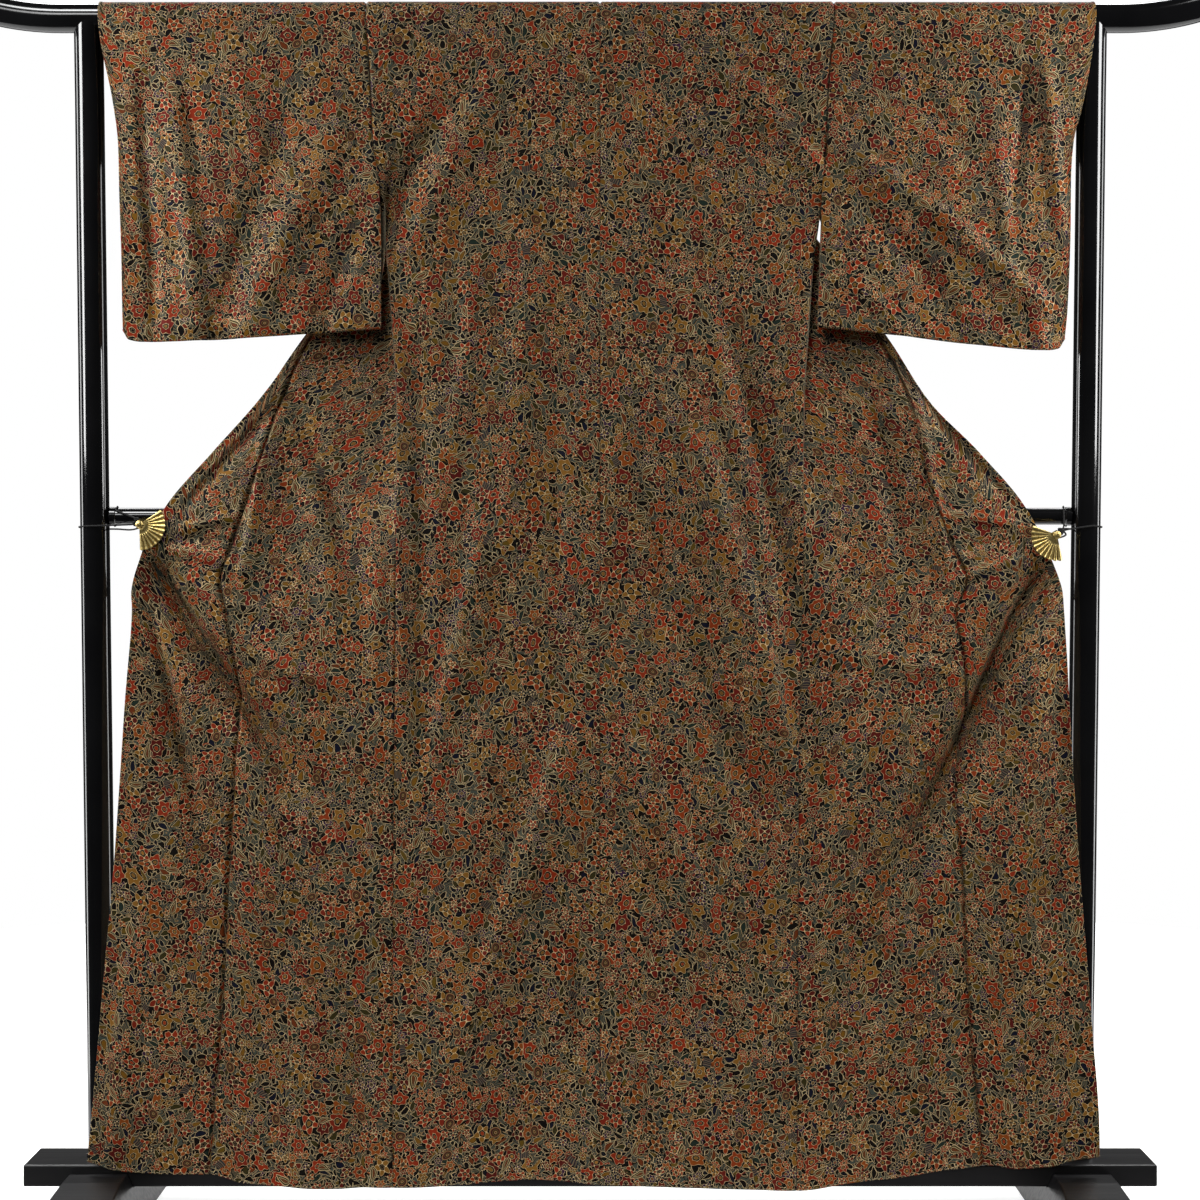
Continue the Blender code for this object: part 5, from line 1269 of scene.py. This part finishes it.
# Leaves: cell, length and half width in millimetres, dyes, and how many lines deep the heart starts
LEAVES = (
    (8.4, 5.4, 2.7, SMALL_DYES, 1.0),
    (14.0, 8.0, 3.4, LEAF_DYES, 2.6),
)

# Blossoms: cell, size and its spread in millimetres, dyes, and the clusters they grow in: channel, level
BLOSSOMS = (
    (14.5, 5.4, 2.4, BUD_DYES, "Green", 0.46),
    (25.0, 8.6, 4.0, PETAL_DYES, "Red", 0.44),
)

# A blossom, as shares of its size: the dark disc, then each petal's middle, radius, closeness to the next
# and foot, then the eye
DISC_SHARE = 0.95
PETAL_MIDDLE = 0.62
PETAL_RADIUS = 0.325
PETAL_CLOSE = 0.36
PETAL_FOOT = 0.37
EYE_SHARE = 0.19

# Large motifs: their cell, how loosely they lie in it, and which lots are paisleys and which are tiles
LARGE_MM = 58.0
LARGE_LOOSE = 0.7
PAISLEY_BELOW = 0.45
TILE_ABOVE = 0.78

# Paisley: both ends in millimetres, how its tip bends and swings, its girth, and the lines in it
PAISLEY_ENDS = (-8.5, 11.0)
PAISLEY_BEND = 2.5
PAISLEY_SWING = 5.5
PAISLEY_GIRTH = 12.5
PAISLEY_LINES = 0.24

# Roundel and tile in millimetres, with the tile's narrowness
ROUNDEL_MM = 7.0
RINGS_MM = 7.2
TILE_MM = 3.8
TILE_NARROW = 0.62
STRIPE_MM = 5.2


def motif_cells(node, at, cell_mm, loose):
    """Cells of a motif: their lots, the place from each middle, and the distance to the cell's border."""
    spot = node("TexVoronoi", at, voronoi_dimensions="2D", scale=1 / cell_mm, randomness=loose)
    border = node("TexVoronoi", at, voronoi_dimensions="2D", feature="DISTANCE_TO_EDGE", scale=1 / cell_mm,
                  randomness=loose)
    lot = node("SeparateColor", spot.outputs["Color"])
    local = node("VectorMath", at, spot.outputs["Position"], operation="SUBTRACT")
    room = node("Math", border.outputs["Distance"], cell_mm, operation="MULTIPLY")
    return lot, local, room


def drawn(node, colour, depth, line_mm, line, dye):
    """The colour with a shape over it: depth is how far inside the shape a place is, in millimetres."""
    inside = node("Math", depth, 0.0, operation="GREATER_THAN")
    colour = node("Mix", inside, colour, line, data_type="RGBA")
    inside = node("Math", depth, line_mm, operation="GREATER_THAN")
    return node("Mix", inside, colour, dye, data_type="RGBA")


def leaves(node, at, colour, cell_mm, length_mm, width_mm, dyes, vein):
    """Bent leaves and crescents, each turned its own way."""
    lot, local, room = motif_cells(node, at, cell_mm, 0.9)
    angle = node("Math", lot.outputs["Red"], 2 * math.pi, operation="MULTIPLY")
    turned = node("VectorRotate", local, (0.0, 0.0, 0.0), angle, rotation_type="Z_AXIS")
    part = node("SeparateXYZ", turned)
    squared = node("Math", part.outputs["Y"], part.outputs["Y"], operation="MULTIPLY")
    bend = node("Math", lot.outputs["Green"], 0.9 / length_mm, -0.4 / length_mm, operation="MULTIPLY_ADD")
    across = node("Math", squared, bend, part.outputs["X"], operation="MULTIPLY_ADD")
    across = node("Math", across, operation="ABSOLUTE")
    girth = node("Math", squared, -width_mm / length_mm ** 2, width_mm, operation="MULTIPLY_ADD")
    depth = node("Math", girth, across, operation="SUBTRACT")
    depth = node("Math", depth, room, operation="MINIMUM")
    dye = node("ValToRGB", lot.outputs["Blue"], stops=dyes, interpolation="CONSTANT")
    colour = drawn(node, colour, depth, LINE_MM, OUTLINE, INNER_LINE)
    heart = node("Math", depth, LINE_MM * vein, operation="GREATER_THAN")
    return node("Mix", heart, colour, dye, data_type="RGBA")


def blossoms(node, at, colour, cell_mm, size_mm, spread_mm, dyes, where, least):
    """Rings of five or six round petals on a dark disc, where the value passes a level."""
    lot, local, room = motif_cells(node, at, cell_mm, 0.8)
    part = node("SeparateXYZ", local)
    reach = node("VectorMath", local, operation="LENGTH")
    turn = node("Math", part.outputs["Y"], part.outputs["X"], operation="ARCTAN2")
    petals = node("Math", lot.outputs["Red"], 1.99, 5.0, operation="MULTIPLY_ADD")
    petals = node("Math", petals, operation="FLOOR")
    phase = node("Math", turn, node("Math", petals, 0.5, operation="MULTIPLY"), lot.outputs["Blue"],
                 operation="MULTIPLY_ADD")
    size = node("Math", lot.outputs["Green"], spread_mm, size_mm, operation="MULTIPLY_ADD")
    share = node("Math", reach, size, operation="DIVIDE")
    there = node("Math", where, least, operation="GREATER_THAN")
    disc = node("Math", node("Math", share, DISC_SHARE, operation="LESS_THAN"), there, operation="MULTIPLY")
    colour = node("Mix", disc, colour, INNER_LINE, data_type="RGBA")
    # A petal is a round spot: how far aside of its middle, and how far in or out
    aside = node("Math", node("Math", node("Math", phase, operation="SINE"), reach, operation="MULTIPLY"),
                 node("Math", petals, PETAL_CLOSE, operation="MULTIPLY"), operation="DIVIDE")
    outward = node("Math", share, PETAL_MIDDLE, operation="SUBTRACT")
    outward = node("Math", outward, size, operation="MULTIPLY")
    off = node("VectorMath", node("CombineXYZ", aside, outward, 0.0), operation="LENGTH")
    depth = node("Math", size, PETAL_RADIUS, operation="MULTIPLY")
    depth = node("Math", depth, off, operation="SUBTRACT")
    depth = node("Math", node("Math", depth, room, operation="MINIMUM"), there, operation="MULTIPLY")
    dye = node("ValToRGB", lot.outputs["Blue"], stops=dyes, interpolation="CONSTANT")
    inward = node("Math", share, PETAL_FOOT, operation="LESS_THAN")
    dye = node("Mix", inward, dye, INNER_LINE, data_type="RGBA")
    colour = drawn(node, colour, depth, PETAL_LINE_MM, OUTLINE, dye)
    # Eye
    centre = node("ValToRGB", lot.outputs["Green"], stops=CENTRE_DYES, interpolation="CONSTANT")
    depth = node("Math", EYE_SHARE, share, operation="SUBTRACT")
    depth = node("Math", depth, size, operation="MULTIPLY")
    depth = node("Math", depth, there, operation="MULTIPLY")
    return drawn(node, colour, depth, PETAL_LINE_MM, FAINT_LINE, centre)


def silk_print(node):
    """Colour of a dense print of small flowers, leaves, scrolls and paisleys, in cloth millimetres."""
    place = node("UVMap", uv_map="cloth")
    flat = node("VectorMath", place, operation="SCALE", scale=MM_PER_M)
    wander = node("TexNoise", flat, noise_dimensions="2D", scale=1 / WANDER_MM, detail=1.0)
    shift = node("VectorMath", wander.outputs["Color"], (0.5, 0.5, 0.5), operation="SUBTRACT")
    at = node("VectorMath", shift, WANDER_SHIFT, flat, operation="MULTIPLY_ADD")
    clusters = node("TexNoise", flat, noise_dimensions="2D", scale=1 / CLUSTER_MM, detail=2.0)
    cluster = node("SeparateColor", clusters.outputs["Color"])

    # Ground, its dye changing softly from place to place, with scrolls of pale and dark lines
    colour = node("ValToRGB", cluster.outputs["Blue"], stops=GROUND_DYES, interpolation="LINEAR")
    scroll = node("TexNoise", at, noise_dimensions="2D", scale=1 / SCROLL_MM, detail=0.0)
    wave = node("Math", scroll.outputs["Fac"], SCROLL_LINES, operation="MULTIPLY")
    wave = node("Math", wave, operation="FRACT")
    vine = node("Math", wave, PALE_PART, operation="LESS_THAN")
    colour = node("Mix", vine, colour, FAINT_LINE, data_type="RGBA")
    shade = node("Math", wave, *DARK_PART, operation="COMPARE")
    colour = node("Mix", shade, colour, INNER_LINE, data_type="RGBA")

    for motif in LEAVES:
        colour = leaves(node, at, colour, *motif)
    for *motif, channel, level in BLOSSOMS:
        colour = blossoms(node, at, colour, *motif, cluster.outputs[channel], level)

    # Large motifs: paisleys, ringed roundels and striped tiles
    lot, local, _ = motif_cells(node, at, LARGE_MM, LARGE_LOOSE)
    angle = node("Math", lot.outputs["Green"], 2 * math.pi, operation="MULTIPLY")
    turned = node("VectorRotate", local, (0.0, 0.0, 0.0), angle, rotation_type="Z_AXIS")
    part = node("SeparateXYZ", turned)
    reach = node("VectorMath", local, operation="LENGTH")
    is_paisley = node("Math", lot.outputs["Red"], PAISLEY_BELOW, operation="LESS_THAN")
    is_tile = node("Math", lot.outputs["Red"], TILE_ABOVE, operation="GREATER_THAN")
    is_other = node("Math", is_paisley, is_tile, operation="ADD")
    is_roundel = node("Math", is_other, 0.5, operation="LESS_THAN")
    # Paisley: a drop whose tip bends aside
    along = node("MapRange", part.outputs["Y"], *PAISLEY_ENDS, 0.0, 1.0)
    swing = node("Math", along, PAISLEY_BEND, operation="POWER")
    swing = node("Math", swing, PAISLEY_SWING, part.outputs["X"], operation="MULTIPLY_ADD")
    swing = node("Math", swing, operation="ABSOLUTE")
    girth = node("Math", node("Math", along, 0.5, operation="POWER"),
                 node("Math", 1.0, along, operation="SUBTRACT"), operation="MULTIPLY")
    girth = node("Math", girth, PAISLEY_GIRTH, operation="MULTIPLY")
    depth = node("Math", girth, swing, operation="SUBTRACT")
    lines = node("Math", depth, PAISLEY_LINES, operation="MULTIPLY")
    dye = node("ValToRGB", lines, stops=DROP_DYES, interpolation="CONSTANT")
    mask = node("Math", depth, 0.0, operation="GREATER_THAN")
    mask = node("Math", mask, is_paisley, operation="MULTIPLY")
    colour = node("Mix", mask, colour, dye, data_type="RGBA")
    # Roundel: rings of thin lines
    rings = node("Math", reach, 1 / RINGS_MM, operation="MULTIPLY")
    dye = node("ValToRGB", rings, stops=RING_DYES, interpolation="CONSTANT")
    mask = node("Math", reach, ROUNDEL_MM, operation="LESS_THAN")
    mask = node("Math", mask, is_roundel, operation="MULTIPLY")
    colour = node("Mix", mask, colour, dye, data_type="RGBA")
    # Tile: stripes across a small square
    side_x = node("Math", part.outputs["X"], operation="ABSOLUTE")
    side_y = node("Math", part.outputs["Y"], operation="ABSOLUTE")
    side_y = node("Math", side_y, TILE_NARROW, operation="MULTIPLY")
    far_side = node("Math", side_x, side_y, operation="MAXIMUM")
    stripe = node("Math", part.outputs["Y"], 1 / STRIPE_MM, operation="MULTIPLY")
    stripe = node("Math", stripe, operation="FRACT")
    dye = node("ValToRGB", stripe, stops=STRIPE_DYES, interpolation="CONSTANT")
    mask = node("Math", far_side, TILE_MM, operation="LESS_THAN")
    mask = node("Math", mask, is_tile, operation="MULTIPLY")
    return node("Mix", mask, colour, dye, data_type="RGBA"), flat


def silk_bump(node, flat):
    """Normal of crepe silk: its uneven crimp, drawn at 1.1 mm where the real one is about 0.4 mm."""
    crimp = node("TexNoise", flat, noise_dimensions="2D", scale=1 / 1.1, detail=2.0, roughness=0.6)
    return node("Bump", strength=0.20, distance=0.0002, height=crimp.outputs["Fac"])


def printed_silk():
    """Soft woven silk with a dense many-coloured print: matt, with a faint sheen along its folds."""
    made, node, surface = new_material("printed crepe silk")
    colour, flat = silk_print(node)
    surface(base_color=colour, normal=silk_bump(node, flat), roughness=0.55, specular_ior_level=0.08,
            sheen_weight=0.004, sheen_roughness=0.35)
    return made


def silk_reverse():
    """The inner face of the silk, where the print shows through paler and greyer."""
    made, node, surface = new_material("reverse of the silk")
    colour, flat = silk_print(node)
    paler = node("Mix", 0.55, colour, srgb("#77705c"), data_type="RGBA")
    surface(base_color=paler, normal=silk_bump(node, flat), roughness=0.7, specular_ior_level=0.25)
    return made


def pipe_enamel():
    """Black stove enamel on steel pipe: deep gloss, with the slight ripple of a sprayed coat."""
    made, node, surface = new_material("black stove enamel")
    place = node("TexCoord")
    cloud = node("TexNoise", place.outputs["Object"], scale=9.0, detail=3.0)
    colour = node("ValToRGB", cloud.outputs["Fac"], stops=[(0.3, srgb("#040405")), (0.7, srgb("#0a0a0b"))])
    gloss = node("MapRange", cloud.outputs["Fac"], 0.3, 0.7, 0.07, 0.13)
    ripple = node("TexNoise", place.outputs["Object"], scale=260.0, detail=1.0)
    bump = node("Bump", strength=0.05, distance=0.0003, height=ripple.outputs["Fac"])
    surface(base_color=colour, roughness=gloss, normal=bump)
    return made


def base_lacquer():
    """Black lacquer on wood: smooth gloss with a few fine rubbing marks along its length."""
    made, node, surface = new_material("black lacquer on wood")
    place = node("TexCoord")
    stretched = node("VectorMath", place.outputs["Object"], (3.0, 160.0, 160.0), operation="MULTIPLY")
    rubbed = node("TexNoise", stretched, scale=1.0, detail=4.0, roughness=0.6)
    cloud = node("TexNoise", place.outputs["Object"], scale=6.0, detail=3.0)
    colour = node("ValToRGB", cloud.outputs["Fac"], stops=[(0.3, srgb("#070708")), (0.7, srgb("#100f10"))])
    gloss = node("MapRange", rubbed.outputs["Fac"], 0.3, 0.75, 0.32, 0.44)
    bump = node("Bump", strength=0.04, distance=0.0003, height=rubbed.outputs["Fac"])
    surface(base_color=colour, roughness=gloss, normal=bump, specular_ior_level=0.25)
    return made


def clip_brass():
    """Polished gilt brass: bright warm metal with a soft brush and duller specks."""
    made, node, surface = new_material("polished gilt brass")
    place = node("TexCoord")
    specks = node("TexNoise", place.outputs["Object"], scale=420.0, detail=3.0)
    colour = node("ValToRGB", specks.outputs["Fac"],
                  stops=[(0.32, srgb("#8c7338")), (0.5, srgb("#cfb878"))])
    gloss = node("MapRange", specks.outputs["Fac"], 0.3, 0.7, 0.42, 0.28)
    surface(base_color=colour, roughness=gloss, metallic=1.0)
    return made


def cord_braid():
    """Black twisted cotton cord: matt, with lighter fibre ends."""
    made, node, surface = new_material("black twisted cotton")
    place = node("TexCoord")
    fibres = node("TexNoise", place.outputs["Object"], scale=2400.0, detail=2.0)
    colour = node("ValToRGB", fibres.outputs["Fac"], stops=[(0.4, srgb("#060606")), (0.8, srgb("#171615"))])
    bump = node("Bump", strength=0.3, distance=0.0002, height=fibres.outputs["Fac"])
    surface(base_color=colour, normal=bump, roughness=0.85)
    return made


def silk_thread(name, dark, light):
    """Twisted silk sewing thread: smooth, a little glossy, its dye uneven along its length."""
    made, node, surface = new_material(name)
    place = node("TexCoord")
    uneven = node("TexNoise", place.outputs["Object"], scale=300.0, detail=1.0)
    colour = node("ValToRGB", uneven.outputs["Fac"], stops=[(0.35, srgb(dark)), (0.65, srgb(light))])
    surface(base_color=colour, roughness=0.45, specular_ior_level=0.3)
    return made


def studio():
    """White floor, soft lights and the camera at the photograph's angle."""
    scene = bpy.context.scene
    scene.view_settings.view_transform = "Standard"
    bm = bmesh.new()
    bmesh.ops.create_circle(bm, cap_ends=True, segments=FLOOR_SIDES, radius=FLOOR_HALF)
    bmesh.ops.translate(bm, vec=FLOOR_MIDDLE, verts=bm.verts)
    mesh = bpy.data.meshes.new("floor")
    bm.to_mesh(mesh)
    bm.free()
    floor = bpy.data.objects.new("floor", mesh)
    scene.collection.objects.link(floor)
    white = srgb("#ffffff")
    made, node, surface = new_material("white studio floor")
    place = node("SeparateXYZ", node("TexCoord").outputs["Object"])
    glow = node("MapRange", place.outputs["Y"], *GLOW_RISE)
    pale = node("MapRange", place.outputs["Y"], *TONE_RISE)
    tone = node("Mix", pale, srgb("#b4b4b4"), srgb("#f4f4f4"), data_type="RGBA")
    surface(base_color=tone, roughness=0.9, specular_ior_level=0.0, emission_color=white,
            emission_strength=glow)
    floor.data.materials.append(made)

    world = bpy.data.worlds.new("studio")
    world.use_nodes = True
    scene.world = world
    node = functools.partial(add, world.node_tree)
    seen = node("LightPath").outputs["Is Camera Ray"]
    backdrop = node("Background", white, 1.0)
    ambient = node("Background", white, AMBIENT)
    both = node("MixShader", seen, ambient, backdrop)
    fill(world.node_tree, world.node_tree.nodes["World Output"], surface=both)

    for name, azimuth, elevation, distance, width, height, watts, spread in LIGHTS:
        lamp = bpy.data.lights.new(name, "AREA")
        lamp.shape = "RECTANGLE"
        lamp.size, lamp.size_y, lamp.energy, lamp.spread = width, height, watts, math.radians(spread)
        made = bpy.data.objects.new(name, lamp)
        scene.collection.objects.link(made)
        a, e = math.radians(azimuth), math.radians(elevation)
        direction = Vector((math.sin(a) * math.cos(e), -math.cos(a) * math.cos(e), math.sin(e)))
        made.location = Vector(LIGHTS_AIM) + direction * distance
        made.rotation_euler = direction.to_track_quat("Z", "Y").to_euler()

    camera = bpy.data.cameras.new("camera")
    camera.sensor_width = 36.0
    camera.lens = FOCAL_PIXELS / IMAGE_PIXELS * camera.sensor_width
    viewer = bpy.data.objects.new("camera", camera)
    scene.collection.objects.link(viewer)
    pitch = math.atan((IMAGE_PIXELS / 2 - HORIZON_PIXEL) / FOCAL_PIXELS)
    viewer.location = CAMERA_AT
    viewer.rotation_euler = (math.pi / 2 - pitch, 0.0, 0.0)
    scene.camera = viewer


PRINTED_SILK = printed_silk()
SILK_REVERSE = silk_reverse()
PIPE_ENAMEL = pipe_enamel()
BASE_LACQUER = base_lacquer()
CLIP_BRASS = clip_brass()
CORD_BRAID = cord_braid()
DARK_THREAD = silk_thread("dark silk thread", "#120b06", "#2a1c10")
PALE_THREAD = silk_thread("pale silk thread", "#7d7056", "#b5a988")
CORD_TREE = twisted_cord(CORD_BRAID)

for side in (LEFT, RIGHT):
    back_panel(side)
    front_panel(side)
    okumi_panel(side)
    sleeve(side)
    fan(side)
    knob(side)
    clip_cords(side, CORD_TREE)
collar()
stitches()
top_rail()
posts()
middle_rail()
carried_over()
studio()
